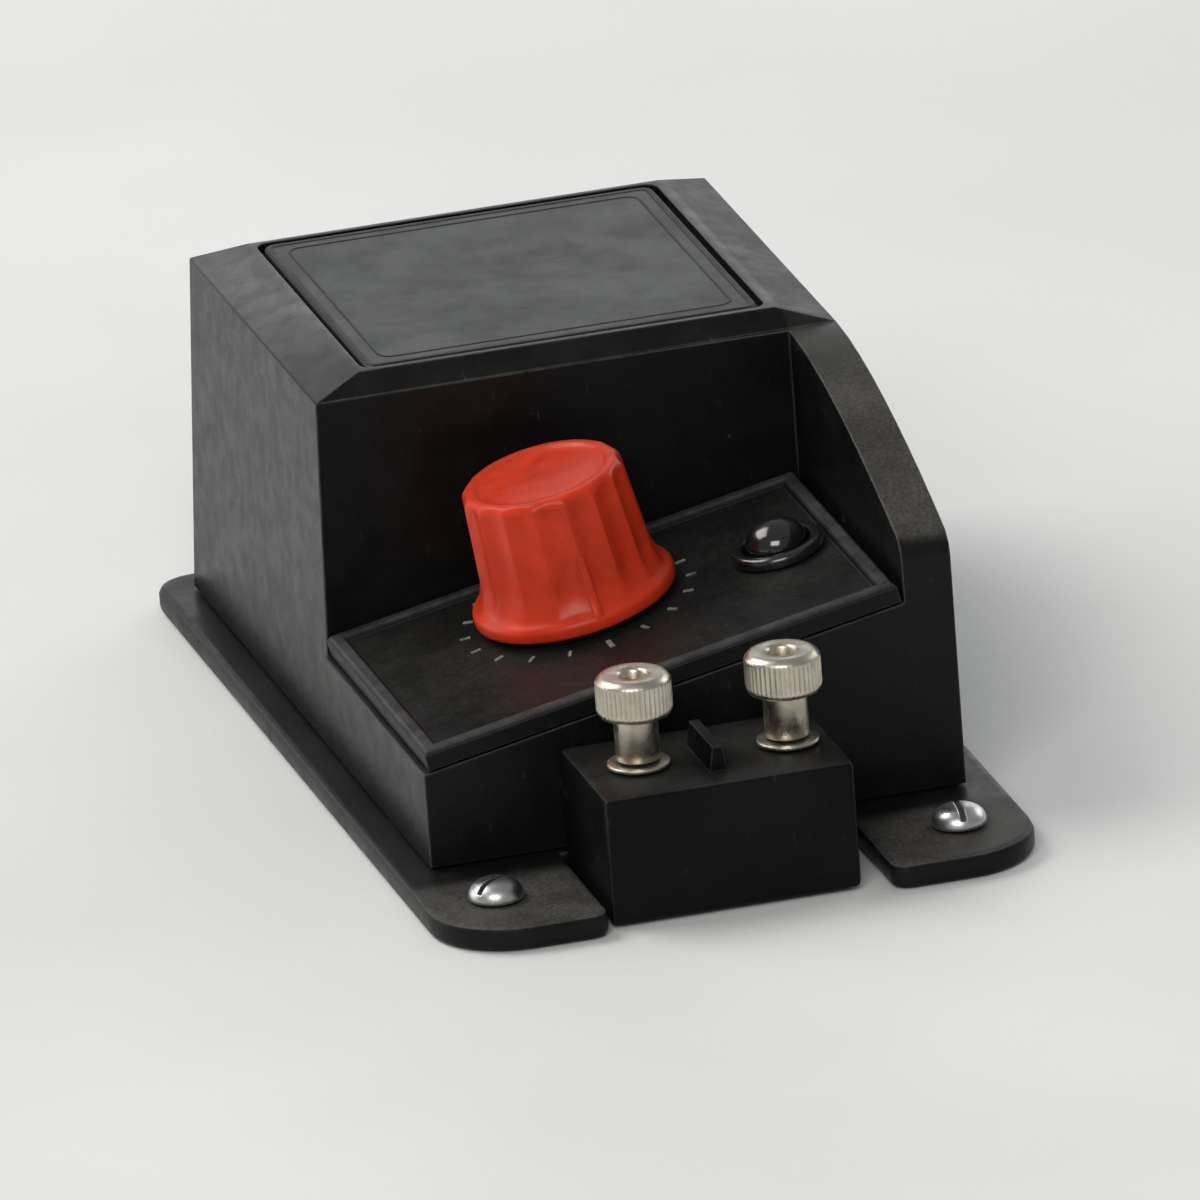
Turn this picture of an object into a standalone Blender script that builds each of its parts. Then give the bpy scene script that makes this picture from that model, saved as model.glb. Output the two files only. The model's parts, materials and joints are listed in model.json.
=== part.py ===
"""Train set controller: a low-voltage speed controller for a model railway.

A sloping control panel with a red speed knob and a reset button stands in
front of a taller transformer box.  Two terminal posts and two screw tabs are
at the front of the base.  The origin is the centre of the base's underside.
+X is to the right, +Y to the back and +Z up.  Lengths are in millimetres and
become metres where a mesh is made.
"""

import math

import bmesh
import bpy
from mathutils import Matrix, Vector

MM = 0.001
GAP = 0.3                     # clearance between touching pieces
TURN = 2.0 * math.pi
PAST = 1.0                    # how far a cutter runs past what it cuts

# Base plate
BASE_W = 73.0
BASE_D = 137.0
BASE_T = 3.0                  # flange and screw tabs
FLOOR_Z = 5.0                 # raised floor inside the housing
BASE_EDGE = 0.8
FRONT_CORNER_R = 10.0
BACK_CORNER_R = 5.0
NOTCH_X = 17.0                # half the gap between the two screw tabs
NOTCH_D = 22.5
NOTCH_FILLET = 2.0
TAB_SCREW_X = 28.0
TAB_SCREW_Y = -58.0
TAB_HOLE_R = 2.1

# Housing
WALL = 2.4
HOUSE_X = 32.5                # half of the housing's width
HOUSE_FRONT = -45.5
HOUSE_FOOT_BACK = 62.5
HOUSE_TOP_BACK = 57.0
HOUSE_TOP_LEFT = -31.3        # the left wall leans in a little
HOUSE_EDGE = 0.7
TALL_FRONT = -1.0             # front face of the transformer box
RIM_Z = 46.3                  # outer edge of the box's top
PLATEAU_Z = 48.5              # raised middle of the box's top
PLATEAU_LOW = (-25.2, 1.8)
PLATEAU_HIGH = (25.6, 52.6)
ROOF_BELOW = 44.2             # underside of the box's roof
CHEEK_X = 26.5                # inner face of the cheek to the right of the panel
CHEEK_DROP = 12.6
CHEEK_CURVE = 1.6
CHEEK_STEPS = 9
CHEEK_NOSE = 2.0
BOSS_R = 3.6
BOSS_TOP = 24.0               # the rear bosses; the front ones end below the panel
BOSS_PILOT_D = 8.5
CASE_SCREW_XY = ((-27.0, -38.0), (27.0, -38.0), (-27.0, 53.0), (27.0, 53.0))

# Label plate, let into the plateau
LABEL_MARGIN = 0.7            # plateau edge to recess
LABEL_CLEAR = 0.8             # recess to plate
LABEL_RECESS = 1.3
LABEL_T = 0.9
LABEL_BELOW = 0.1             # plate's top below the plateau
LABEL_CORNER_R = 1.6

# Sloping control panel, low on the left
PANEL_Z = 17.6                # top of the panel at the housing's left face
PANEL_SLOPE = 0.2
PANEL_TILT = math.atan(PANEL_SLOPE)
PANEL_T = 2.4
PANEL_LEFT = -32.3
PANEL_RIGHT = 25.7
PANEL_BACK = -1.4
PANEL_EDGE = 0.5
PANEL_BORDER = 2.2
PANEL_BEVEL = 0.6             # the border's inner slope
PANEL_SINK = 0.7              # how far the panel's field lies below its border
PANEL_DROP = (PANEL_T + GAP) / math.cos(PANEL_TILT)   # panel's top to its seat

# Speed knob; heights are along the panel's normal from the panel's top
KNOB_XY = (-5.7, -17.5)
KNOB_SKIRT_R = 12.2
KNOB_SKIRT_TOP = 2.0
KNOB_GRIP_R = 10.4
KNOB_TAPER = 0.6
KNOB_SWEEP_TOP = 6.2
KNOB_H = 16.8
KNOB_LIFT = 0.3
KNOB_FLUTES = 16
KNOB_FLUTE_DEPTH = 0.55
KNOB_STEPS = 3                # points to a flute
KNOB_DISH = 0.4
KNOB_HOLLOW_R = 9.0
KNOB_HOLLOW_TOP = 4.2
KNOB_BORE_TOP = 14.5
GRUB_Z = 9.0
GRUB_R = 1.1

# Spindle and rheostat, in the same heights
SHAFT_R = 3.0
SHAFT_TOP = 14.1
SHAFT_LOW = -14.2
SHAFT_TENON_R = 1.9
SHAFT_TENON_TOP = -12.0
SHAFT_CLEAR = 0.08
BUSH_R = 4.5
BUSH_FLANGE_R = 7.0
BUSH_LOW = -4.2
BUSH_TOP = 3.9
WASHER_LOW = -0.4
WASHER_TOP = 0.2
WASHER_R = 6.6
NUT_R = 6.4
NUT_LOW = 0.5
NUT_HIGH = 2.6
RHEOSTAT_R = 15.6
FORMER_LOW = -6.6
WINDING_R = 11.1
WINDING_LOW = -11.0
WINDING_EDGE = 0.6
HUB_R = 5.2
HUB_TOP = -7.2
HUB_LOW = -11.9
ARM_LOW = -12.9
ARM_TIP = 13.2
BRUSH_R = 1.5
LUG_IN = 4.0
LUG_OUT = 3.2
LUG_HALF_W = 1.6
LUG_LOW = -3.9
LUG_TOP = -3.4
LUG_DEG = {"forward": 150, "wiper": 180, "reverse": 210}

# Reset button and thermal cut-out, in heights from the panel's top
RESET_XY = (18.0, -22.6)
RESET_R = 3.7
RESET_DOME_LOW = 0.7
RESET_DOME_H = 2.9
RESET_STEM_R = 2.0
RESET_STEM_LOW = -8.4
RESET_PIN_R = 0.9
RESET_PIN_LOW = -10.9
COLLAR_R = 4.5
COLLAR_RIM_R = 5.6
COLLAR_BORE_R = 4.1
COLLAR_LOW = -4.7
COLLAR_SHELF = -2.3
COLLAR_TOP = 0.9
CLIP_LOW = -5.4
CLIP_TOP = -5.0
SPRING_R = 2.7
SPRING_WIRE_R = 0.3
SPRING_LOW = -10.8
SPRING_TOP = -5.8
SPRING_TURNS = 5
SPRING_STEPS = 10             # rings to a turn
SPRING_SIDES = 5
CUTOUT_HALF = (5.6, 8.0)
CUTOUT_LOW = -14.5
CUTOUT_WELL_R = 3.4
CUTOUT_WELL_LOW = -11.2
CUTOUT_CHAMBER_HALF = (4.4, 6.8)
CUTOUT_CHAMBER_TOP = -11.8
COVER_LOW = -15.9
BLADE = ((-2.0, -6.0, -13.7), (2.0, 5.4, -13.3))
CUTOUT_TAG_Y = {"line": -5.6, "load": 5.0}
CUTOUT_TAG_HALF_W = 1.4
CUTOUT_TAG_T = 0.4
CUTOUT_TAG_LOW = -19.4
CUTOUT_TAG_TOP = -14.1

# Terminal block and posts
BLOCK_LOW = (-16.4, -66.3, 0.3)
BLOCK_HIGH = (13.8, -46.3, 16.0)
BLOCK_WALL = 1.5
POCKET_Z = 7.2                # ceiling of the pocket under the block
RIB_X = -1.5                  # the rib, the tongue and its screw
RIB_FOOT = 1.2
RIB_CREST = 0.6
RIB_TOP = 19.0
RIB_FRONT = -62.5
RIB_BACK = -52.5
TONGUE_HALF_W = 4.5
TONGUE_END = -36.4
TONGUE_TOP = 7.8
BLOCK_SCREW_Y = -39.6
POST_X = {"left": -9.6, "right": 8.4}
POST_Y = -57.0
STUD_R = 1.5
STUD_TOP = 26.8
STUD_HEAD_R = 3.0
STUD_HEAD_LOW = 3.8
STUD_HEAD_TOP = 5.8
SOLDER_TAG_LOW = 6.2
SOLDER_TAG_TOP = 6.7
SOLDER_TAG_R = 3.0
SOLDER_TAG_TAIL = 6.3
CLAMP_LOW = 16.3              # washer under the thumb nut
CLAMP_TOP = 16.8
CLAMP_R = 3.7
THUMB_LOW = 17.1
THUMB_COLLAR_R = 2.6
THUMB_HEAD_LOW = 22.6
THUMB_HEAD_R = 4.5
THUMB_TOP = 27.6

# Transformer
CORE_W = 42.0
CORE_STACK = 20.0
CORE_H = 35.0
CORE_Y = 29.0
CORE_FOOT = FLOOR_Z + GAP
LIMB = 14.0
YOKE = 7.0
BOBBIN_WALL = 1.0
BOBBIN_DEPTH = 6.4
WINDINGS = {                  # colour, inner and outer height over the bobbin's tube
    "primary_winding": ("tape_yellow", 0.3, 2.6),
    "secondary_winding": ("copper", 2.9, 4.9),
}
STRAP_T = 1.0
STRAP_FOOT = 28.0
STRAP_SCREW_X = 25.2

# Circuit board
BOARD_Y = 52.5
BOARD_HALF_W = 22.4
BOARD_FRONT = 4.8
BOARD_BACK = 4.2
BOARD_LOW = 9.0
BOARD_TOP = 10.6
BOARD_POST_X = 18.0
BOARD_POST_R = 2.8
BOARD_POST_TOP = 8.7
RECTIFIER_X = (0.0, 13.0)
RECTIFIER_TOP = 21.0
CAPACITOR_X = -5.6
CAPACITOR_R = 3.4
CAPACITOR_TOP = 22.0

# Leads
LEAD_R = 0.8
LEAD_STEPS = 3                # points between two points of a route

# Cord inlet in the back wall
INLET_X = -14.0
INLET_Z = 18.5
INLET_BORE_R = 3.5
INLET_GROOVE_R = 4.5
INLET_HOLE_R = 4.8
INLET_FLANGE_R = 6.0

# Screws: head radius, head height, shank radius and shank length
CASE_SCREW = (2.8, 1.7, 1.05, 10.0)
FIXING_SCREW = (3.3, 2.3, 1.75, BASE_T)
BLOCK_SCREW = (2.5, 1.8, 1.1, 6.6)
STRAP_SCREW = (2.4, 1.7, 1.1, 4.4)
BOARD_SCREW = (2.2, 1.5, 0.95, 6.0)
PILOT_R = 1.3                 # hole that a screw cuts its thread in
CLEARANCE_R = 1.65            # hole that a screw passes through
COUNTERBORE_R = 3.3
COUNTERBORE_D = 2.4
CASE_HEAD_Z = 1.9             # seat of the case screws' heads, up inside the base
SCREW_SLOT_HALF_W = 0.35
SCREW_SLOT_TURN = 0.6

# Colour, roughness and metallic value of each material
COLOURS = {
    "black_shell": ((0.028, 0.029, 0.027), 0.42, 0.0),
    "black_base": ((0.022, 0.022, 0.021), 0.5, 0.0),
    "black_panel": ((0.035, 0.036, 0.033), 0.55, 0.0),
    "black_block": ((0.02, 0.02, 0.019), 0.4, 0.0),
    "black_gloss": ((0.02, 0.02, 0.02), 0.18, 0.0),
    "label_grey": ((0.2, 0.205, 0.205), 0.5, 0.0),
    "knob_red": ((0.56, 0.055, 0.02), 0.35, 0.0),
    "nickel": ((0.72, 0.7, 0.66), 0.25, 1.0),
    "zinc": ((0.6, 0.6, 0.6), 0.35, 1.0),
    "brass": ((0.78, 0.57, 0.25), 0.3, 1.0),
    "steel_core": ((0.3, 0.3, 0.31), 0.45, 1.0),
    "copper": ((0.72, 0.3, 0.14), 0.35, 1.0),
    "resistance_wire": ((0.45, 0.42, 0.38), 0.4, 1.0),
    "bobbin_nylon": ((0.75, 0.72, 0.62), 0.5, 0.0),
    "tape_yellow": ((0.75, 0.55, 0.1), 0.5, 0.0),
    "paxolin": ((0.33, 0.17, 0.06), 0.5, 0.0),
    "ceramic": ((0.8, 0.78, 0.72), 0.6, 0.0),
    "carbon": ((0.05, 0.05, 0.05), 0.6, 0.0),
    "capacitor_blue": ((0.03, 0.12, 0.4), 0.4, 0.0),
    "rubber": ((0.02, 0.02, 0.02), 0.8, 0.0),
    "lead_red": ((0.5, 0.03, 0.02), 0.45, 0.0),
    "lead_black": ((0.02, 0.02, 0.02), 0.45, 0.0),
}


# ---------------------------------------------------------------- helpers

def clear_scene():
    for item in list(bpy.data.objects):
        bpy.data.objects.remove(item, do_unlink=True)


def material(key):
    found = bpy.data.materials.get(key)
    if found:
        return found
    colour, roughness, metallic = COLOURS[key]
    made = bpy.data.materials.new(key)
    made.use_nodes = True
    shader = made.node_tree.nodes["Principled BSDF"]
    shader.inputs["Base Color"].default_value = (*colour, 1.0)
    shader.inputs["Roughness"].default_value = roughness
    shader.inputs["Metallic"].default_value = metallic
    return made


def add_object(name, bm, key, matrix=None):
    """Turn a bmesh in millimetres into a named object at its place."""
    bmesh.ops.remove_doubles(bm, verts=bm.verts, dist=1e-4)
    bmesh.ops.recalc_face_normals(bm, faces=bm.faces)
    bmesh.ops.scale(bm, vec=(MM, MM, MM), verts=bm.verts)
    mesh = bpy.data.meshes.new(name)
    bm.to_mesh(mesh)
    bm.free()
    mesh.materials.append(material(key))
    mesh.shade_smooth()
    mesh.set_sharp_from_angle(angle=math.radians(35))
    made = bpy.data.objects.new(name, mesh)
    bpy.context.scene.collection.objects.link(made)
    if matrix is not None:
        made.matrix_world = matrix
    return made


def hidden(name, bm, matrix=None):
    """A cutter, or a shape to be joined on: shown as wire and left out."""
    made = add_object(name, bm, "black_shell", matrix)
    made.hide_render = True
    made.display_type = "WIRE"
    return made


def combine(target, other, operation):
    step = target.modifiers.new(other.name, "BOOLEAN")
    step.operation = operation
    step.solver = "EXACT"
    step.object = other


def cut(target, cutter):
    combine(target, cutter, "DIFFERENCE")


def unite(target, extra):
    combine(target, extra, "UNION")


def soften(target, width, segments=2, angle=40.0):
    """Round the edges that are sharper than an angle."""
    step = target.modifiers.new("edges", "BEVEL")
    step.width = width * MM
    step.segments = segments
    step.limit_method = "ANGLE"
    step.angle_limit = math.radians(angle)
    step.use_clamp_overlap = True


def carry(name, matrix, pieces):
    """An empty on a joint's axis, with the pieces that move about it."""
    pivot = bpy.data.objects.new(name, None)
    bpy.context.scene.collection.objects.link(pivot)
    pivot.matrix_world = matrix
    for piece in pieces:
        child = bpy.data.objects[piece]
        child.parent = pivot
        child.matrix_parent_inverse = matrix.inverted()


def join_rings(bm, rows, closed=False):
    """Faces between rings of equally many vertices."""
    count = len(rows[0])
    pairs = list(zip(rows, rows[1:]))
    if closed:
        pairs.append((rows[-1], rows[0]))
    for low, high in pairs:
        for i in range(count):
            j = (i + 1) % count
            bm.faces.new((low[i], low[j], high[j], high[i]))


def skin(rings, closed=False):
    """A mesh over rings of points, with its ends capped or its loop closed."""
    bm = bmesh.new()
    rows = [[bm.verts.new(point) for point in ring] for ring in rings]
    join_rings(bm, rows, closed)
    if not closed:
        bm.faces.new(rows[0][::-1])
        bm.faces.new(rows[-1])
    return bm


def prism_x(profile, low, high):
    """Extrude a (y, z) profile along X."""
    return skin([[(x, y, z) for y, z in profile] for x in (low, high)])


def prism_y(profile, low, high):
    """Extrude an (x, z) profile along Y."""
    return skin([[(x, y, z) for x, z in profile] for y in (low, high)])


def prism_z(profile, low, high):
    """Extrude an (x, y) profile along Z."""
    return skin([[(x, y, z) for x, y in profile] for z in (low, high)])


def box(low, high):
    (x0, y0, z0), (x1, y1, z1) = low, high
    return prism_z([(x0, y0), (x1, y0), (x1, y1), (x0, y1)], z0, z1)


def circle(radius, count):
    step = TURN / count
    return [(radius * math.cos(i * step), radius * math.sin(i * step)) for i in range(count)]


def arc(centre, radius, start_deg, end_deg, steps):
    points = []
    for i in range(steps + 1):
        angle = math.radians(start_deg + (end_deg - start_deg) * i / steps)
        x = centre[0] + radius * math.cos(angle)
        y = centre[1] + radius * math.sin(angle)
        points.append((x, y))
    return points


def rounded_rectangle(low, high, radius, steps=4):
    (x0, y0), (x1, y1) = low, high
    return (
        arc((x1 - radius, y0 + radius), radius, -90, 0, steps)
        + arc((x1 - radius, y1 - radius), radius, 0, 90, steps)
        + arc((x0 + radius, y1 - radius), radius, 90, 180, steps)
        + arc((x0 + radius, y0 + radius), radius, 180, 270, steps)
    )


def moved(profile, x, y):
    return [(x + px, y + py) for px, py in profile]


def turned(profile, count=24):
    """Turn an (r, z) profile about Z; it is closed, or ends on the axis."""
    rings = [[(r * c, r * s, z) for c, s in circle(1.0, count)] for r, z in profile]
    if profile[0][0] > 0.0:
        return skin(rings, closed=True)
    bm = bmesh.new()
    rows = [[bm.verts.new(point) for point in ring] for ring in rings[1:-1]]
    join_rings(bm, rows)
    for row, (_, z) in ((rows[0], profile[0]), (rows[-1], profile[-1])):
        tip = bm.verts.new((0.0, 0.0, z))
        for i in range(count):
            bm.faces.new((row[i], row[(i + 1) % count], tip))
    return bm


def drill(target, name, radius, spot, low, high, matrix=None, count=16):
    """Cut a round hole along Z at an (x, y) spot."""
    tool = prism_z(moved(circle(radius, count), *spot), low, high)
    cut(target, hidden(name, tool, matrix))


def place(x, y, z):
    return Matrix.Translation(Vector((x, y, z)) * MM)


def panel_height(x):
    return PANEL_Z + PANEL_SLOPE * (x + HOUSE_X)


def on_panel(x, y):
    """A frame on the panel's top: its Z is the panel's normal."""
    return place(x, y, panel_height(x)) @ Matrix.Rotation(-PANEL_TILT, 4, "Y")


# ------------------------------------------------------------------- base

def base_outline():
    half_w = BASE_W / 2
    half_d = BASE_D / 2
    front = FRONT_CORNER_R
    back = BACK_CORNER_R
    fillet = NOTCH_FILLET
    notch_back = NOTCH_D - half_d
    return (
        arc((NOTCH_X + fillet, -half_d + fillet), fillet, 180, 270, 3)
        + arc((half_w - front, -half_d + front), front, -90, 0, 8)
        + arc((half_w - back, half_d - back), back, 0, 90, 5)
        + arc((-half_w + back, half_d - back), back, 90, 180, 5)
        + arc((-half_w + front, -half_d + front), front, 180, 270, 8)
        + arc((-NOTCH_X - fillet, -half_d + fillet), fillet, -90, 0, 3)
        + [(-NOTCH_X, notch_back), (NOTCH_X, notch_back)]
    )


def make_base():
    base = add_object("base_plate", prism_z(base_outline(), 0.0, BASE_T), "black_base")
    soften(base, BASE_EDGE, 2, 60.0)
    side = HOUSE_X - WALL - 1.0
    low = (-side, HOUSE_FRONT + WALL + GAP)
    high = (side, HOUSE_FOOT_BACK - WALL - GAP)
    floor = prism_z(rounded_rectangle(low, high, 2.0, 3), BASE_T - 1.0, FLOOR_Z)
    unite(base, hidden("raised_floor", floor))
    for name, side in (("left", -1), ("right", 1)):
        spot = (side * BOARD_POST_X, BOARD_Y)
        post = prism_z(moved(circle(BOARD_POST_R, 16), *spot), BASE_T, BOARD_POST_TOP)
        unite(base, hidden(f"board_post_{name}", post))
        drill(base, f"board_pilot_{name}", PILOT_R, spot, 2.0, BOARD_POST_TOP + PAST)
        drill(base, f"strap_pilot_{name}", PILOT_R, (side * STRAP_SCREW_X, CORE_Y), 1.0, FLOOR_Z + PAST)
        drill(base, f"tab_hole_{name}", TAB_HOLE_R, (side * TAB_SCREW_X, TAB_SCREW_Y), -PAST, BASE_T + PAST)
    for i, spot in enumerate(CASE_SCREW_XY):
        drill(base, f"case_clearance_{i}", CLEARANCE_R, spot, -PAST, FLOOR_Z + PAST)
        drill(base, f"case_counterbore_{i}", COUNTERBORE_R, spot, -PAST, COUNTERBORE_D, count=20)
    drill(base, "block_pilot", PILOT_R, (RIB_X, BLOCK_SCREW_Y), 1.0, FLOOR_Z + PAST)


def screw(name, size, spot, key="zinc", up=True):
    """A slotted pan-head screw; spot is the middle of the head's seat."""
    head_r, head_h, shank_r, length = size
    profile = [
        (0.0, head_h),
        (head_r * 0.6, head_h * 0.96),
        (head_r * 0.93, head_h * 0.6),
        (head_r, 0.0),
        (shank_r, 0.0),
        (shank_r, -length),
        (0.0, -length),
    ]
    matrix = place(*spot)
    if not up:
        matrix = matrix @ Matrix.Rotation(math.pi, 4, "X")
    made = add_object(name, turned(profile, 16), key, matrix)
    half = SCREW_SLOT_HALF_W
    slot = box((-head_r - PAST, -half, head_h / 2), (head_r + PAST, half, head_h + PAST))
    turn = Matrix.Rotation(SCREW_SLOT_TURN, 4, "Z")
    cut(made, hidden(f"{name}_slot", slot, matrix @ turn))


def make_screws():
    names = ("front_left", "front_right", "rear_left", "rear_right")
    for name, (x, y) in zip(names, CASE_SCREW_XY):
        screw(f"case_screw_{name}", CASE_SCREW, (x, y, CASE_HEAD_Z), up=False)
    for name, side in (("left", -1), ("right", 1)):
        spot = (side * TAB_SCREW_X, TAB_SCREW_Y, BASE_T + GAP)
        screw(f"fixing_screw_{name}", FIXING_SCREW, spot, key="nickel")


# ---------------------------------------------------------------- housing

def cheek_height(y):
    t = (TALL_FRONT - y) / (TALL_FRONT - HOUSE_FRONT)
    return RIM_Z - CHEEK_DROP * t ** CHEEK_CURVE


def cheek_profile(low_z):
    """The (y, z) outline of the housing's right side."""
    top_end = HOUSE_FRONT + 0.8 * CHEEK_NOSE
    top = []
    for i in range(CHEEK_STEPS + 1):
        y = TALL_FRONT + (top_end - TALL_FRONT) * i / CHEEK_STEPS
        top.append((y, cheek_height(y)))
    front_z = cheek_height(HOUSE_FRONT)
    nose = [
        (HOUSE_FRONT + 0.2 * CHEEK_NOSE, front_z - 0.3 * CHEEK_NOSE),
        (HOUSE_FRONT, front_z - CHEEK_NOSE),
    ]
    foot = [(HOUSE_FRONT, low_z), (HOUSE_FOOT_BACK, low_z)]
    return top + nose + foot + [(HOUSE_TOP_BACK, RIM_Z)]


def tall_box(bottom):
    """The transformer box with its raised, chamfered top."""

    def ring(low, high, z):
        (x0, y0), (x1, y1) = low, high
        return [(x0, y0, z), (x1, y0, z), (x1, y1, z), (x0, y1, z)]

    return skin([
        ring((-HOUSE_X, TALL_FRONT), (HOUSE_X, HOUSE_FOOT_BACK), bottom),
        ring((HOUSE_TOP_LEFT, TALL_FRONT), (HOUSE_X, HOUSE_TOP_BACK), RIM_Z),
        ring(PLATEAU_LOW, PLATEAU_HIGH, PLATEAU_Z),
    ])


def deck_block(bottom):
    """The low part under the control panel, its top following the panel."""
    right = CHEEK_X + 1.0
    profile = [
        (-HOUSE_X, bottom),
        (right, bottom),
        (right, panel_height(right) - PANEL_DROP),
        (-HOUSE_X, panel_height(-HOUSE_X) - PANEL_DROP),
    ]
    return prism_y(profile, HOUSE_FRONT, TALL_FRONT + 1.0)


def tall_cavity():
    foot_back = HOUSE_FOOT_BACK - WALL
    lean = (HOUSE_FOOT_BACK - HOUSE_TOP_BACK) / (RIM_Z - BASE_T)
    profile = [
        (TALL_FRONT + WALL, -PAST),
        (foot_back, -PAST),
        (foot_back, BASE_T),
        (foot_back - lean * (ROOF_BELOW - BASE_T), ROOF_BELOW),
        (TALL_FRONT + WALL, ROOF_BELOW),
    ]
    return prism_x(profile, HOUSE_TOP_LEFT + 0.7 * WALL, HOUSE_X - WALL)


def deck_cavity():
    """Open under the panel, and roofed over below the cheek."""
    x = HOUSE_X - WALL
    edge = CHEEK_X - 0.5
    roof = panel_height(edge) - 6.0
    profile = [
        (-x, -PAST), (x, -PAST), (x, roof), (edge, roof + 3.0),
        (edge, PLATEAU_Z), (-x, PLATEAU_Z),
    ]
    return prism_y(profile, HOUSE_FRONT + WALL, TALL_FRONT - 0.1)


def front_wall_passage():
    """The way from the deck into the tall box, below its front wall."""
    x = HOUSE_X - WALL
    edge = CHEEK_X - 0.5
    sink = PANEL_DROP + 1.2
    profile = [
        (-x, -PAST), (x, -PAST), (x, panel_height(CHEEK_X) - 6.0),
        (edge, panel_height(edge) - sink), (-x, panel_height(-x) - sink),
    ]
    return prism_y(profile, TALL_FRONT - PAST, TALL_FRONT + WALL + PAST)


def inset_plateau(inset, radius):
    (x0, y0), (x1, y1) = PLATEAU_LOW, PLATEAU_HIGH
    return rounded_rectangle((x0 + inset, y0 + inset), (x1 - inset, y1 - inset), radius, 3)


def make_housing():
    bottom = BASE_T + GAP
    side = prism_x(cheek_profile(bottom), CHEEK_X, HOUSE_X)
    housing = add_object("housing", side, "black_shell")
    unite(housing, hidden("tall_box", tall_box(bottom)))
    unite(housing, hidden("deck_block", deck_block(bottom)))
    soften(housing, HOUSE_EDGE, 2, 50.0)
    cut(housing, hidden("tall_cavity", tall_cavity()))
    cut(housing, hidden("deck_cavity", deck_cavity()))
    cut(housing, hidden("front_wall_passage", front_wall_passage()))
    outline = inset_plateau(LABEL_MARGIN, LABEL_CORNER_R)
    recess = prism_z(outline, PLATEAU_Z - LABEL_RECESS, PLATEAU_Z + PAST)
    cut(housing, hidden("label_recess", recess))
    for i, (x, y) in enumerate(CASE_SCREW_XY):
        top = BOSS_TOP
        if y < TALL_FRONT:
            top = panel_height(x) - PANEL_DROP - 1.7
        boss = prism_z(moved(circle(BOSS_R, 20), x, y), FLOOR_Z + GAP, top)
        unite(housing, hidden(f"case_boss_{i}", boss))
        drill(housing, f"boss_pilot_{i}", PILOT_R, (x, y), FLOOR_Z - PAST, FLOOR_Z + BOSS_PILOT_D)
    low = (POST_X["left"] - 2.9, HOUSE_FRONT - PAST, 0.0)
    high = (POST_X["right"] + 2.9, HOUSE_FRONT + WALL + PAST, TONGUE_TOP + 0.6)
    cut(housing, hidden("terminal_passage", box(low, high)))
    drill(housing, "inlet_hole", INLET_HOLE_R, (0.0, 0.0), -6.0, 6.0, inlet_frame(), 24)


def inlet_frame():
    """A frame at the middle of the back wall's thickness, Z pointing out."""
    lean = math.atan((HOUSE_FOOT_BACK - HOUSE_TOP_BACK) / (RIM_Z - BASE_T - GAP))
    y = HOUSE_FOOT_BACK - (INLET_Z - BASE_T - GAP) * math.tan(lean) - WALL / 2
    return place(INLET_X, y, INLET_Z) @ Matrix.Rotation(-math.pi / 2 + lean, 4, "X")


def make_grommet():
    half = WALL / 2 + GAP
    bore = INLET_BORE_R
    flange = INLET_FLANGE_R
    profile = [
        (bore, -half - 1.3),
        (flange - 0.6, -half - 1.3),
        (flange, -half - 0.8),
        (flange, -half),
        (INLET_GROOVE_R, -half),
        (INLET_GROOVE_R, half),
        (flange, half),
        (flange, half + 0.8),
        (flange - 0.8, half + 1.6),
        (bore + 0.4, half + 1.6),
        (bore, half + 1.2),
    ]
    add_object("cord_grommet", turned(profile), "rubber", inlet_frame())


def make_label():
    outline = inset_plateau(LABEL_MARGIN + LABEL_CLEAR, LABEL_CORNER_R - 0.4)
    top = PLATEAU_Z - LABEL_BELOW
    label = add_object("label_plate", prism_z(outline, top - LABEL_T, top), "label_grey")
    soften(label, 0.2, 1, 60.0)


# ---------------------------------------------------------- control panel

def make_panel(frame):
    """The plate in the panel's own frame, x along the slope."""
    along = 1.0 / math.cos(PANEL_TILT)
    left = (PANEL_LEFT - KNOB_XY[0]) * along
    right = (PANEL_RIGHT - KNOB_XY[0]) * along
    front = HOUSE_FRONT - KNOB_XY[1]
    back = PANEL_BACK - KNOB_XY[1]

    def ring(inset, z):
        x0, x1 = left + inset, right - inset
        y0, y1 = front + inset, back - inset
        return [(x0, y0, z), (x1, y0, z), (x1, y1, z), (x0, y1, z)]

    plate = skin([
        ring(0.0, -PANEL_T),
        ring(0.0, -PANEL_EDGE),
        ring(PANEL_EDGE, 0.0),
        ring(PANEL_BORDER - PANEL_BEVEL, 0.0),
        ring(PANEL_BORDER, -PANEL_SINK),
    ])
    panel = add_object("control_panel", plate, "black_panel", frame)
    middle = (0.0, 0.0)
    drill(panel, "bush_hole", BUSH_R + 0.4, middle, -5.0, 5.0, frame, 24)
    drill(panel, "collar_hole", COLLAR_R + 0.1, middle, -5.0, 5.0, on_panel(*RESET_XY), 24)


# ---------------------------------------------------------- speed control

def sweep_radius(height):
    """The concave sweep from the knob's skirt up to its grip."""
    t = (height - KNOB_SKIRT_TOP) / (KNOB_SWEEP_TOP - KNOB_SKIRT_TOP)
    return KNOB_GRIP_R + (KNOB_SKIRT_R - 0.5 - KNOB_GRIP_R) * (1.0 - t) ** 2


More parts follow.
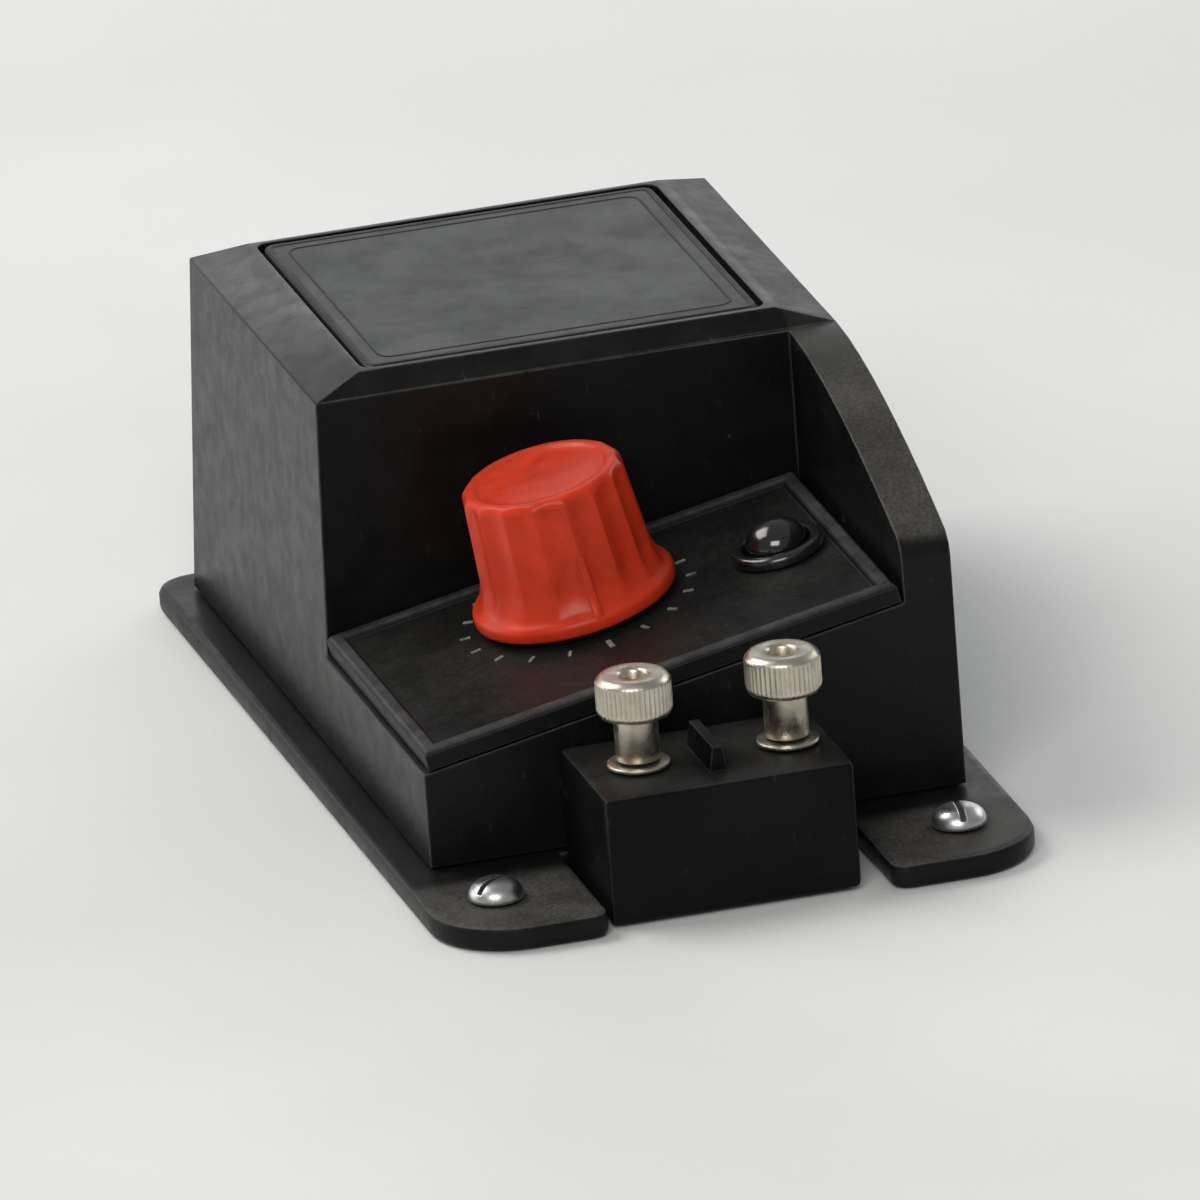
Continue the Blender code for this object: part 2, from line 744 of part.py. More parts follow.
def knob_body():
    """Skirt, sweep and fluted grip, with a shallow dish in the top."""
    count = KNOB_FLUTES * KNOB_STEPS

    def ring(height, radius, depth=0.0):
        points = []
        for i in range(count):
            angle = TURN * i / count
            r = radius - depth * (0.5 - 0.5 * math.cos(KNOB_FLUTES * angle))
            points.append((r * math.cos(angle), r * math.sin(angle), height))
        return points

    skirt = [
        ring(KNOB_LIFT, KNOB_SKIRT_R - 0.4),
        ring(KNOB_LIFT + 0.5, KNOB_SKIRT_R),
        ring(KNOB_SKIRT_TOP, KNOB_SKIRT_R),
        ring(KNOB_SKIRT_TOP + 0.4, KNOB_SKIRT_R - 0.5),
    ]
    sweep = []
    for share in (0.35, 0.65, 1.0):
        height = KNOB_SKIRT_TOP + share * (KNOB_SWEEP_TOP - KNOB_SKIRT_TOP)
        sweep.append(ring(height, sweep_radius(height), KNOB_FLUTE_DEPTH * share))
    crown = KNOB_GRIP_R - KNOB_TAPER
    grip = [
        ring(KNOB_H - 1.4, crown, KNOB_FLUTE_DEPTH),
        ring(KNOB_H - 0.4, crown - 0.35, KNOB_FLUTE_DEPTH / 2),
        ring(KNOB_H, crown - 1.1),
        ring(KNOB_H - KNOB_DISH, crown - 2.2),
    ]
    return skin(skirt + sweep + grip)


def make_knob(frame):
    knob = add_object("speed_knob", knob_body(), "knob_red", frame)
    pointer = box((-0.65, -KNOB_SKIRT_R + 0.35, 1.5), (0.65, -KNOB_GRIP_R + 0.8, 3.6))
    unite(knob, hidden("knob_pointer", pointer, frame))
    middle = (0.0, 0.0)
    drill(knob, "knob_bore", SHAFT_R + 0.05, middle, -PAST, KNOB_BORE_TOP, frame, 20)
    drill(knob, "knob_hollow", KNOB_HOLLOW_R, middle, -PAST, KNOB_HOLLOW_TOP, frame, 24)
    screw_way = prism_y(moved(circle(GRUB_R + 0.15, 12), 0.0, GRUB_Z), 1.0, KNOB_SKIRT_R)
    cut(knob, hidden("grub_screw_way", screw_way, frame))
    grub = prism_y(moved(circle(GRUB_R, 12), 0.0, GRUB_Z), SHAFT_R + GAP, KNOB_GRIP_R - 1.6)
    add_object("knob_grub_screw", grub, "zinc", frame)


def make_spindle(frame):
    spindle = turned([
        (0.0, SHAFT_LOW), (SHAFT_TENON_R, SHAFT_LOW), (SHAFT_TENON_R, SHAFT_TENON_TOP),
        (SHAFT_R, SHAFT_TENON_TOP), (SHAFT_R, SHAFT_TOP - 0.5),
        (SHAFT_R - 0.5, SHAFT_TOP), (0.0, SHAFT_TOP),
    ])
    add_object("control_shaft", spindle, "brass", frame)
    bore = SHAFT_R + SHAFT_CLEAR
    shoulder = -PANEL_T - GAP
    bush = turned([
        (bore, BUSH_LOW), (BUSH_FLANGE_R, BUSH_LOW), (BUSH_FLANGE_R, shoulder),
        (BUSH_R, shoulder), (BUSH_R, BUSH_TOP - 0.3), (BUSH_R - 0.3, BUSH_TOP), (bore, BUSH_TOP),
    ])
    add_object("rheostat_bush", bush, "brass", frame)
    inner = BUSH_R + 0.2
    washer = turned([
        (inner, WASHER_LOW), (WASHER_R, WASHER_LOW), (WASHER_R, WASHER_TOP), (inner, WASHER_TOP),
    ])
    add_object("rheostat_washer", washer, "zinc", frame)
    nut = add_object("rheostat_nut", prism_z(circle(NUT_R, 6), NUT_LOW, NUT_HIGH), "nickel", frame)
    drill(nut, "nut_bore", inner, (0.0, 0.0), NUT_LOW - PAST, NUT_HIGH + PAST, frame, 24)


def make_rheostat(frame):
    bore = SHAFT_R + SHAFT_CLEAR + GAP
    top = BUSH_LOW - GAP
    former = turned([
        (bore, top), (RHEOSTAT_R, top), (RHEOSTAT_R, FORMER_LOW), (bore, FORMER_LOW),
    ], 36)
    add_object("rheostat_former", former, "ceramic", frame)
    high = FORMER_LOW - GAP
    edge = WINDING_EDGE
    outer = RHEOSTAT_R - 0.2
    winding = turned([
        (WINDING_R + 0.3, high), (outer - 0.2, high), (outer, high - edge),
        (outer, WINDING_LOW + edge), (outer - 0.2, WINDING_LOW), (WINDING_R + 0.3, WINDING_LOW),
        (WINDING_R, WINDING_LOW + edge), (WINDING_R, high - edge),
    ], 36)
    wound = add_object("resistance_winding", winding, "resistance_wire", frame)
    opening = [(0.0, 0.0), (-4.0, RHEOSTAT_R + 6.4), (4.0, RHEOSTAT_R + 6.4)]
    wedge = prism_z(opening, WINDING_LOW - PAST, high + PAST)
    cut(wound, hidden("winding_gap", wedge, frame))
    for name, degrees in LUG_DEG.items():
        low = (-LUG_HALF_W, RHEOSTAT_R - LUG_IN, LUG_LOW)
        lug = box(low, (LUG_HALF_W, RHEOSTAT_R + LUG_OUT, LUG_TOP))
        turn = Matrix.Rotation(math.radians(degrees), 4, "Z")
        add_object(f"rheostat_lug_{name}", lug, "nickel", frame @ turn)


def make_wiper(frame):
    bore = SHAFT_R + 0.05
    hub = turned([(bore, HUB_TOP), (HUB_R, HUB_TOP), (HUB_R, HUB_LOW), (bore, HUB_LOW)])
    add_object("wiper_hub", hub, "bobbin_nylon", frame)
    tip = arc((0.0, -ARM_TIP), BRUSH_R + 0.4, 180, 360, 6)
    round_hub = arc((0.0, 0.0), HUB_R - 0.6, -60, 240, 12)
    arm = add_object("wiper_arm", prism_z(tip + round_hub, ARM_LOW, HUB_LOW - GAP), "brass", frame)
    drill(arm, "arm_bore", SHAFT_TENON_R + 0.1, (0.0, 0.0), ARM_LOW - PAST, HUB_LOW + PAST, frame, 20)
    brush = prism_z(moved(circle(BRUSH_R, 16), 0.0, -ARM_TIP), HUB_LOW, WINDING_LOW - GAP)
    add_object("wiper_brush", brush, "carbon", frame)


# ------------------------------------------------------- thermal cut-out

def make_reset_button(frame):
    collar = turned([
        (RESET_STEM_R + GAP, COLLAR_LOW), (COLLAR_R, COLLAR_LOW), (COLLAR_R, -0.4),
        (COLLAR_RIM_R, -0.4), (COLLAR_RIM_R, COLLAR_TOP - 0.5), (COLLAR_RIM_R - 0.4, COLLAR_TOP),
        (COLLAR_BORE_R, COLLAR_TOP), (COLLAR_BORE_R, COLLAR_SHELF),
        (RESET_STEM_R + GAP, COLLAR_SHELF),
    ])
    add_object("reset_collar", collar, "black_gloss", frame)
    steps = 5
    dome = []
    for i in range(1, steps + 1):
        angle = math.pi / 2 * i / steps
        height = RESET_DOME_LOW + RESET_DOME_H * math.cos(angle)
        dome.append((RESET_R * math.sin(angle), height))
    button = turned([
        (0.0, RESET_DOME_LOW + RESET_DOME_H), *dome, (RESET_R, 0.0), (RESET_STEM_R, 0.0),
        (RESET_STEM_R, RESET_STEM_LOW), (RESET_PIN_R, RESET_STEM_LOW),
        (RESET_PIN_R, RESET_PIN_LOW), (0.0, RESET_PIN_LOW),
    ])
    add_object("reset_button", button, "black_gloss", frame)
    inner = RESET_STEM_R + 0.05
    outer = RESET_STEM_R + 1.0
    clip = turned([(inner, CLIP_LOW), (outer, CLIP_LOW), (outer, CLIP_TOP), (inner, CLIP_TOP)], 16)
    add_object("reset_circlip", clip, "zinc", frame)


def make_spring(frame):
    """The button's return spring: a round wire swept along a helix."""
    total = SPRING_TURNS * SPRING_STEPS
    rings = []
    for i in range(total + 1):
        angle = TURN * i / SPRING_STEPS
        across = Vector((math.cos(angle), math.sin(angle), 0.0))
        height = SPRING_LOW + (SPRING_TOP - SPRING_LOW) * i / total
        centre = across * SPRING_R + Vector((0.0, 0.0, height))
        rings.append([
            centre + across * (SPRING_WIRE_R * c) + Vector((0.0, 0.0, SPRING_WIRE_R * s))
            for c, s in circle(1.0, SPRING_SIDES)
        ])
    add_object("reset_spring", skin(rings), "nickel", frame)


def make_cutout(frame):
    x, y = CUTOUT_HALF
    body = box((-x, -y, CUTOUT_LOW), (x, y, -PANEL_T - GAP))
    cutout = add_object("cutout_body", body, "paxolin", frame)
    middle = (0.0, 0.0)
    drill(cutout, "cutout_well", CUTOUT_WELL_R, middle, CUTOUT_WELL_LOW, 0.0, frame, 20)
    drill(cutout, "collar_seat", COLLAR_R + GAP, middle, COLLAR_LOW - 0.2, 0.0, frame, 20)
    cx, cy = CUTOUT_CHAMBER_HALF
    chamber = box((-cx, -cy, CUTOUT_LOW - PAST), (cx, cy, CUTOUT_CHAMBER_TOP))
    cut(cutout, hidden("cutout_chamber", chamber, frame))
    drill(cutout, "cutout_pin_way", RESET_PIN_R + 0.4, middle, -13.0, -10.0, frame)
    cover = box((-x, -y, COVER_LOW), (x, y, CUTOUT_LOW - GAP))
    cover = add_object("cutout_cover", cover, "paxolin", frame)
    add_object("bimetal_blade", box(*BLADE), "brass", frame)
    w = CUTOUT_TAG_HALF_W
    for name, y in CUTOUT_TAG_Y.items():
        slot = box((-w - GAP, y - 0.5, CUTOUT_TAG_LOW), (w + GAP, y + 0.9, CUTOUT_TAG_TOP))
        cut(cover, hidden(f"cutout_slot_{name}", slot, frame))
        tag = box((-w, y, CUTOUT_TAG_LOW), (w, y + CUTOUT_TAG_T, CUTOUT_TAG_TOP))
        add_object(f"cutout_tag_{name}", tag, "nickel", frame)


# -------------------------------------------------------------- terminals

def make_terminal_block():
    (x0, y0, z0), (x1, y1, z1) = BLOCK_LOW, BLOCK_HIGH
    block = add_object("terminal_block", box(BLOCK_LOW, BLOCK_HIGH), "black_block")
    soften(block, 0.8, 2, 40.0)
    low = (x0 + BLOCK_WALL, y0 + 2.0, z0 - PAST)
    pocket = box(low, (x1 - BLOCK_WALL, y1 - 2.2, POCKET_Z))
    cut(block, hidden("block_pocket", pocket))
    rib = prism_y([
        (RIB_X - RIB_FOOT, z1 - 1.0), (RIB_X + RIB_FOOT, z1 - 1.0),
        (RIB_X + RIB_CREST, RIB_TOP), (RIB_X - RIB_CREST, RIB_TOP),
    ], RIB_FRONT, RIB_BACK)
    unite(block, hidden("block_rib", rib))
    low = (RIB_X - TONGUE_HALF_W, y1 - 1.2, FLOOR_Z + GAP)
    tongue = box(low, (RIB_X + TONGUE_HALF_W, TONGUE_END, TONGUE_TOP))
    unite(block, hidden("block_tongue", tongue))
    spot = (RIB_X, BLOCK_SCREW_Y)
    drill(block, "block_screw_way", CLEARANCE_R, spot, FLOOR_Z - PAST, TONGUE_TOP + PAST)
    screw("block_screw", BLOCK_SCREW, (*spot, TONGUE_TOP + GAP))
    for name, x in POST_X.items():
        drill(block, f"stud_hole_{name}", STUD_R + 0.25, (x, POST_Y), POCKET_Z - PAST, z1 + PAST)
        slot = box((x - 1.4, y1 - 4.0, z0 - PAST), (x + 1.4, y1 + 2.0, POCKET_Z + 0.3))
        cut(block, hidden(f"lead_slot_{name}", slot))


def make_terminal(name, frame):
    head = prism_z(circle(STUD_HEAD_R, 6), STUD_HEAD_LOW, STUD_HEAD_TOP)
    stud = add_object(f"terminal_stud_{name}", head, "brass", frame)
    rod = prism_z(circle(STUD_R, 16), STUD_HEAD_LOW + 1.0, STUD_TOP)
    unite(stud, hidden(f"stud_rod_{name}", rod, frame))
    tail = [(0.9, SOLDER_TAG_TAIL), (-0.9, SOLDER_TAG_TAIL)]
    outline = arc((0.0, 0.0), SOLDER_TAG_R, 110, 430, 16) + tail
    tag = prism_z(outline, SOLDER_TAG_LOW, SOLDER_TAG_TOP)
    tag = add_object(f"solder_tag_{name}", tag, "nickel", frame)
    low = SOLDER_TAG_LOW - PAST
    drill(tag, f"tag_bore_{name}", STUD_R + 0.2, (0.0, 0.0), low, SOLDER_TAG_TOP + PAST, frame)
    inner = STUD_R + 0.2
    washer = turned([
        (inner, CLAMP_LOW), (CLAMP_R, CLAMP_LOW), (CLAMP_R, CLAMP_TOP), (inner, CLAMP_TOP),
    ], 20)
    add_object(f"terminal_washer_{name}", washer, "nickel", frame)
    bore = STUD_R + 0.1
    nut = turned([
        (bore, THUMB_LOW), (THUMB_COLLAR_R, THUMB_LOW), (THUMB_COLLAR_R, THUMB_HEAD_LOW),
        (THUMB_HEAD_R - 0.4, THUMB_HEAD_LOW + 0.2), (THUMB_HEAD_R, THUMB_HEAD_LOW + 0.7),
        (THUMB_HEAD_R, THUMB_TOP - 0.7), (THUMB_HEAD_R - 0.7, THUMB_TOP), (bore, THUMB_TOP),
    ])
    add_object(f"terminal_nut_{name}", nut, "nickel", frame)


# ------------------------------------------------------------ transformer

def loop(half_x, half_y, radius, z):
    outline = rounded_rectangle((-half_x, -half_y), (half_x, half_y), radius, 2)
    return [(x, y, z) for x, y in outline]


def make_core(spot):
    half_w = CORE_W / 2
    half_stack = CORE_STACK / 2
    block = box((-half_w, -half_stack, 0.0), (half_w, half_stack, CORE_H))
    core = add_object("transformer_core", block, "steel_core", spot)
    reach = half_stack + PAST
    near = LIMB / 2
    far = half_w - YOKE
    for name, x0, x1 in (("left", -far, -near), ("right", near, far)):
        window = box((x0, -reach, YOKE), (x1, reach, CORE_H - YOKE))
        cut(core, hidden(f"core_window_{name}", window, spot))


def make_coils(spot):
    """The bobbin round the middle limb, with its two windings."""
    limb_x = LIMB / 2 + GAP
    limb_y = CORE_STACK / 2 + GAP
    low = YOKE + GAP
    high = CORE_H - YOKE - GAP
    wall = BOBBIN_WALL
    flange = (LIMB - GAP, limb_y + BOBBIN_DEPTH, 1.0)
    tube = (limb_x + wall, limb_y + wall, 0.8)
    bobbin = skin([
        loop(limb_x, limb_y, 0.2, low), loop(*flange, low), loop(*flange, low + wall),
        loop(*tube, low + wall), loop(*tube, high - wall),
        loop(*flange, high - wall), loop(*flange, high), loop(limb_x, limb_y, 0.2, high),
    ], closed=True)
    add_object("transformer_bobbin", bobbin, "bobbin_nylon", spot)
    low += wall + 0.4
    high -= wall + 0.4
    for name, (key, inner, outer) in WINDINGS.items():
        rings = []
        for grow, z in ((inner, low), (outer, low), (outer, high), (inner, high)):
            rings.append(loop(tube[0] + grow, tube[1] + grow, 0.8 * (1.0 + grow), z))
        add_object(name, skin(rings, closed=True), key, spot)


def make_strap():
    """The folded strap that holds the core down on the base."""
    inner = CORE_W / 2 + 0.4
    outer = inner + STRAP_T
    floor = CORE_FOOT
    step = floor + STRAP_T
    top = CORE_FOOT + CORE_H + GAP
    right = [
        (inner, top), (inner, floor), (STRAP_FOOT, floor), (STRAP_FOOT, step),
        (outer, step), (outer, top + STRAP_T),
    ]
    left = [(-x, z) for x, z in reversed(right)]
    half = CORE_STACK / 2 - 1.0
    band = prism_y(right + left, CORE_Y - half, CORE_Y + half)
    strap = add_object("core_strap", band, "zinc")
    for name, side in (("left", -1), ("right", 1)):
        spot = (side * STRAP_SCREW_X, CORE_Y)
        drill(strap, f"strap_hole_{name}", CLEARANCE_R, spot, floor - PAST, step + PAST)
        screw(f"strap_screw_{name}", STRAP_SCREW, (*spot, step + GAP))


# ---------------------------------------------------------- circuit board

def make_board():
    low = (-BOARD_HALF_W, BOARD_Y - BOARD_FRONT, BOARD_LOW)
    high = (BOARD_HALF_W, BOARD_Y + BOARD_BACK, BOARD_TOP)
    board = add_object("circuit_board", box(low, high), "paxolin")
    on_board = BOARD_TOP + GAP
    for name, side in (("left", -1), ("right", 1)):
        spot = (side * BOARD_POST_X, BOARD_Y)
        drill(board, f"board_hole_{name}", PILOT_R + 0.1, spot, BOARD_LOW - PAST, BOARD_TOP + PAST)
        screw(f"board_screw_{name}", BOARD_SCREW, (*spot, on_board))
    x0, x1 = RECTIFIER_X
    block = box((x0, BOARD_Y - 2.6, on_board), (x1, BOARD_Y + 2.6, RECTIFIER_TOP))
    rectifier = add_object("bridge_rectifier", block, "black_gloss")
    soften(rectifier, 0.5, 1, 40.0)
    r = CAPACITOR_R
    can = turned([
        (0.0, on_board), (r - 0.3, on_board), (r, on_board + 0.4),
        (r, CAPACITOR_TOP - 0.6), (r - 0.4, CAPACITOR_TOP), (0.0, CAPACITOR_TOP),
    ], 20)
    add_object("suppressor_capacitor", can, "capacitor_blue", place(CAPACITOR_X, BOARD_Y, 0.0))


# ------------------------------------------------------------------ leads

def smooth_path(points, steps):
    """Points along a Catmull-Rom curve through the route's own points."""
    ends = [2 * points[0] - points[1], *points, 2 * points[-1] - points[-2]]
    made = []
    for a, b, c, d in zip(ends, ends[1:], ends[2:], ends[3:]):
        for i in range(steps):
            t = i / steps
            bend = 2 * a - 5 * b + 4 * c - d
            twist = 3 * b - a - 3 * c + d
            made.append(b + 0.5 * ((c - a) * t + bend * t * t + twist * t ** 3))
    made.append(points[-1])
    return made


def add_lead(name, key, route):
    curve = bpy.data.curves.new(name, "CURVE")
    curve.dimensions = "3D"
    curve.bevel_depth = LEAD_R * MM
    curve.bevel_resolution = 2
    curve.render_resolution_u = 0
    curve.use_fill_caps = True
    path = smooth_path([Vector(point) for point in route], LEAD_STEPS)
    line = curve.splines.new("POLY")
    line.points.add(len(path) - 1)
    for point, spot in zip(line.points, path):
        point.co = (*(spot * MM), 1.0)
    curve.materials.append(material(key))
    made = bpy.data.objects.new(name, curve)
    bpy.context.scene.collection.objects.link(made)


def make_leads():
    """From each solder tag through the block and up to the rheostat's lugs."""
    start = POST_Y + SOLDER_TAG_TAIL + 0.4
    x = POST_X["left"]
    add_lead("output_lead_left", "lead_black", [
        (x, start, 6.4), (x, -46.0, 6.4), (x - 0.6, -42.0, 6.6),
        (x - 2.7, -38.4, 8.6), (x - 4.4, -35.8, 12.2), (x - 4.9, -34.7, 16.4),
    ])
    x = POST_X["right"]
    add_lead("output_lead_right", "lead_red", [
        (x, start, 6.4), (x, -46.0, 6.4), (x - 0.4, -42.0, 6.7),
        (x - 2.0, -38.4, 9.9), (x - 3.5, -35.8, 14.8), (x - 3.9, -34.7, 19.9),
    ])


# --------------------------------------------------------------- assembly

clear_scene()
knob_frame = on_panel(*KNOB_XY)
reset_frame = on_panel(*RESET_XY)
core_frame = place(0.0, CORE_Y, CORE_FOOT)

make_base()
make_screws()
make_housing()
make_grommet()
make_label()
make_panel(knob_frame)
make_knob(knob_frame)
make_spindle(knob_frame)
make_rheostat(knob_frame)
make_wiper(knob_frame)
make_reset_button(reset_frame)
make_spring(reset_frame)
make_cutout(reset_frame)
make_core(core_frame)
make_coils(core_frame)
make_strap()
make_board()
make_terminal_block()
make_leads()
for post_name, post_x in POST_X.items():
    post_frame = place(post_x, POST_Y, 0.0)
    make_terminal(post_name, post_frame)
    carry(f"{post_name}_post_axis", post_frame, (
        f"terminal_nut_{post_name}", f"terminal_washer_{post_name}",
    ))
carry("speed_axis", knob_frame, (
    "speed_knob", "knob_grub_screw", "control_shaft", "wiper_hub", "wiper_arm", "wiper_brush",
))
carry("reset_axis", reset_frame, ("reset_button", "reset_circlip"))
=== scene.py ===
"""Looks of the train set controller.

The frame's CAD nodes keep their shape and get procedural materials. The round, turned and
threaded ones are replaced by finer meshes: knob, button, spring, terminals, screws, grommet.
Measures are in millimetres unless a name or a comment says otherwise.
"""

import json
import math

import bpy
from mathutils import Matrix, Vector


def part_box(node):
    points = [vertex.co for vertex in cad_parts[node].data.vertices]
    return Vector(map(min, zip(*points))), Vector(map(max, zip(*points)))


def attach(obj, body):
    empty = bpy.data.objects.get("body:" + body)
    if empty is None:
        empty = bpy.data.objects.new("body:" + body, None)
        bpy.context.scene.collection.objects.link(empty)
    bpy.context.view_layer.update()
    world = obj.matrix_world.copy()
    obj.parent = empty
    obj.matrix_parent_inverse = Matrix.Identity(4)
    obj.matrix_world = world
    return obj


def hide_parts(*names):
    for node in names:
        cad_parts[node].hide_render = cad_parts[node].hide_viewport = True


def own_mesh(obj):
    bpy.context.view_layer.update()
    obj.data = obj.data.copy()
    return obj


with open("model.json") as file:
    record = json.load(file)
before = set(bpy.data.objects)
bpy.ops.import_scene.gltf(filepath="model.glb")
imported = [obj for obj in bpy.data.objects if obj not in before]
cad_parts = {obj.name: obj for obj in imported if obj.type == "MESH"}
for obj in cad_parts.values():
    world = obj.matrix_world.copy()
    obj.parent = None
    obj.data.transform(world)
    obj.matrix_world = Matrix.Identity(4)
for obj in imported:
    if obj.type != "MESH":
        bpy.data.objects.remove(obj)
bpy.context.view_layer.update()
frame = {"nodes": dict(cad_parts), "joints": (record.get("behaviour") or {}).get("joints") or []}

MM = 0.001
TURN = 2.0 * math.pi

# Colours, linear.
BLACK = (0.0055, 0.0058, 0.0057)
RUBBED = (0.105, 0.105, 0.104)
RUBBED_WARM = (0.150, 0.138, 0.122)
# pale film on level faces: dust, and on the right cheek partly a painted highlight
DUST_AND_HIGHLIGHT = (0.30, 0.285, 0.26)
# near black laid in corners and gaps: painted shade, with some grime
GRIME_AND_SHADE = (0.004, 0.004, 0.004)
LABEL = (0.034, 0.035, 0.0352)
RED = (0.575, 0.037, 0.0096)
RED_WORN = (0.66, 0.095, 0.036)
# deep red laid in the knob's flutes and hollows: painted shade, with some dirt
RED_SHADE_AND_DIRT = (0.10, 0.008, 0.004)
NICKEL = (0.60, 0.56, 0.475)
ZINC = (0.62, 0.63, 0.64)
BRASS = (0.66, 0.43, 0.14)

# ------------------------------------------------------------ node graphs

MIX_A, MIX_B, MIX_RESULT = 6, 7, 2   # the Mix node's colour sockets
WAVE_FACTOR = 20.0   # the Wave node's phase is this many times place times scale
DUST_FILM = 0.12     # share of dust on a level face, before each material's own amount


class Graph:
    """A material's node tree, built up from small calls."""

    def __init__(self, name):
        self.material = bpy.data.materials.new(name)
        self.material.use_nodes = True
        self.tree = self.material.node_tree
        self.tree.nodes.clear()
        self.output = self.tree.nodes.new("ShaderNodeOutputMaterial")
        self.shader = self.tree.nodes.new("ShaderNodeBsdfPrincipled")
        self.tree.links.new(self.shader.outputs[0], self.output.inputs[0])
        place = self.node("ShaderNodeTexCoord").outputs["Object"]
        scale = self.node("ShaderNodeVectorMath", operation="SCALE")
        scale.inputs["Scale"].default_value = 1.0 / MM
        self.tree.links.new(place, scale.inputs[0])
        self.mm = scale.outputs[0]
        self.geometry = self.node("ShaderNodeNewGeometry")

    def node(self, kind, **values):
        made = self.tree.nodes.new(kind)
        for key, value in values.items():
            setattr(made, key, value)
        return made

    def feed(self, socket, value):
        """Links a socket to another socket, or sets it to a number or a colour."""
        if isinstance(value, bpy.types.NodeSocket):
            self.tree.links.new(value, socket)
        elif socket.type == "RGBA":
            socket.default_value = (*value[:3], 1.0)
        else:
            socket.default_value = value

    def math(self, operation, a, b, clamp=False):
        made = self.node("ShaderNodeMath", operation=operation, use_clamp=clamp)
        self.feed(made.inputs[0], a)
        self.feed(made.inputs[1], b)
        return made.outputs[0]

    def stretched(self, sx, sy, sz):
        """The place in millimetres, scaled along each axis, for noise with a direction."""
        made = self.node("ShaderNodeVectorMath", operation="MULTIPLY")
        self.feed(made.inputs[0], self.mm)
        made.inputs[1].default_value = (sx, sy, sz)
        return made.outputs[0]

    def noise(self, size, detail, rough, vector=None, warp=0.0):
        """Noise whose features are about that many millimetres across."""
        made = self.node("ShaderNodeTexNoise")
        self.feed(made.inputs["Vector"], vector or self.mm)
        made.inputs["Scale"].default_value = 1.0 / size
        made.inputs["Detail"].default_value = detail
        made.inputs["Roughness"].default_value = rough
        made.inputs["Distortion"].default_value = warp
        return made.outputs["Fac"]

    def cells(self, size):
        """Distance to the nearest of scattered points about that many millimetres apart."""
        made = self.node("ShaderNodeTexVoronoi", feature="F1")
        self.feed(made.inputs["Vector"], self.mm)
        made.inputs["Scale"].default_value = 1.0 / size
        return made.outputs["Distance"]

    def bands(self, pitch, axis, warp, profile="SIN"):
        """Stripes across an axis, one every pitch millimetres."""
        made = self.node("ShaderNodeTexWave", wave_type="BANDS", wave_profile=profile)
        made.bands_direction = axis
        self.feed(made.inputs["Vector"], self.mm)
        made.inputs["Scale"].default_value = TURN / (WAVE_FACTOR * pitch)
        made.inputs["Distortion"].default_value = warp
        made.inputs["Detail Scale"].default_value = 0.3
        return made.outputs["Fac"]

    def span(self, value, low, high, out_low=0.0, out_high=1.0):
        """A smooth step from out_low at low to out_high at high."""
        made = self.node("ShaderNodeMapRange", interpolation_type="SMOOTHSTEP")
        self.feed(made.inputs["Value"], value)
        made.inputs["From Min"].default_value = low
        made.inputs["From Max"].default_value = high
        made.inputs["To Min"].default_value = out_low
        made.inputs["To Max"].default_value = out_high
        return made.outputs["Result"]

    def blend(self, share, a, b):
        """A share of colour b laid over colour a."""
        made = self.node("ShaderNodeMix", data_type="RGBA")
        self.feed(made.inputs["Factor"], share)
        self.feed(made.inputs[MIX_A], a)
        self.feed(made.inputs[MIX_B], b)
        return made.outputs[MIX_RESULT]

    def rounded(self, radius):
        """The normal, with the edges rounded by that radius."""
        made = self.node("ShaderNodeBevel", samples=4)
        made.inputs["Radius"].default_value = radius * MM
        return made.outputs[0]

    def edges(self, radius, low=0.02, high=0.16):
        """1 on outer edges, found by comparing a rounded normal with the true one."""
        made = self.node("ShaderNodeVectorMath", operation="DOT_PRODUCT")
        self.feed(made.inputs[0], self.rounded(radius))
        self.feed(made.inputs[1], self.geometry.outputs["Normal"])
        turned = self.math("SUBTRACT", 1.0, made.outputs["Value"])
        outside = self.span(self.hollows(radius * 3.0), 0.25, 0.55, 1.0, 0.0)
        return self.math("MULTIPLY", self.span(turned, low, high), outside)

    def hollows(self, reach):
        """1 in corners and gaps."""
        made = self.node("ShaderNodeAmbientOcclusion", samples=4)
        made.inputs["Distance"].default_value = reach * MM
        return self.math("SUBTRACT", 1.0, made.outputs["AO"], clamp=True)

    def facing_up(self):
        """1 on level faces, falling to 0 on steep ones."""
        made = self.node("ShaderNodeSeparateXYZ")
        self.feed(made.inputs[0], self.geometry.outputs["Normal"])
        return self.span(made.outputs["Z"], 0.55, 0.98)

    def above(self, origin, normal, low, high):
        """0 up to low mm above the plane through origin, 1 from high mm above it."""
        made = self.node("ShaderNodeVectorMath", operation="DOT_PRODUCT")
        self.feed(made.inputs[0], self.mm)
        made.inputs[1].default_value = normal
        level = Vector(origin).dot(Vector(normal)) / MM
        return self.span(made.outputs["Value"], level + low, level + high)

    def relief(self, height, depth, base):
        """The base normal, bumped by a height that is depth mm from low to high."""
        made = self.node("ShaderNodeBump")
        made.inputs["Strength"].default_value = 1.0
        made.inputs["Distance"].default_value = depth * MM
        self.feed(made.inputs["Height"], height)
        self.feed(made.inputs["Normal"], base)
        return made.outputs[0]

    def finish(self, colour, roughness, normal, **fixed):
        """Joins the shader up; fixed holds its sockets that are the same all over."""
        self.feed(self.shader.inputs["Base Color"], colour)
        self.feed(self.shader.inputs["Roughness"], roughness)
        self.feed(self.shader.inputs["Normal"], normal)
        for key, value in fixed.items():
            self.shader.inputs[key.replace("_", " ")].default_value = value
        return self.material


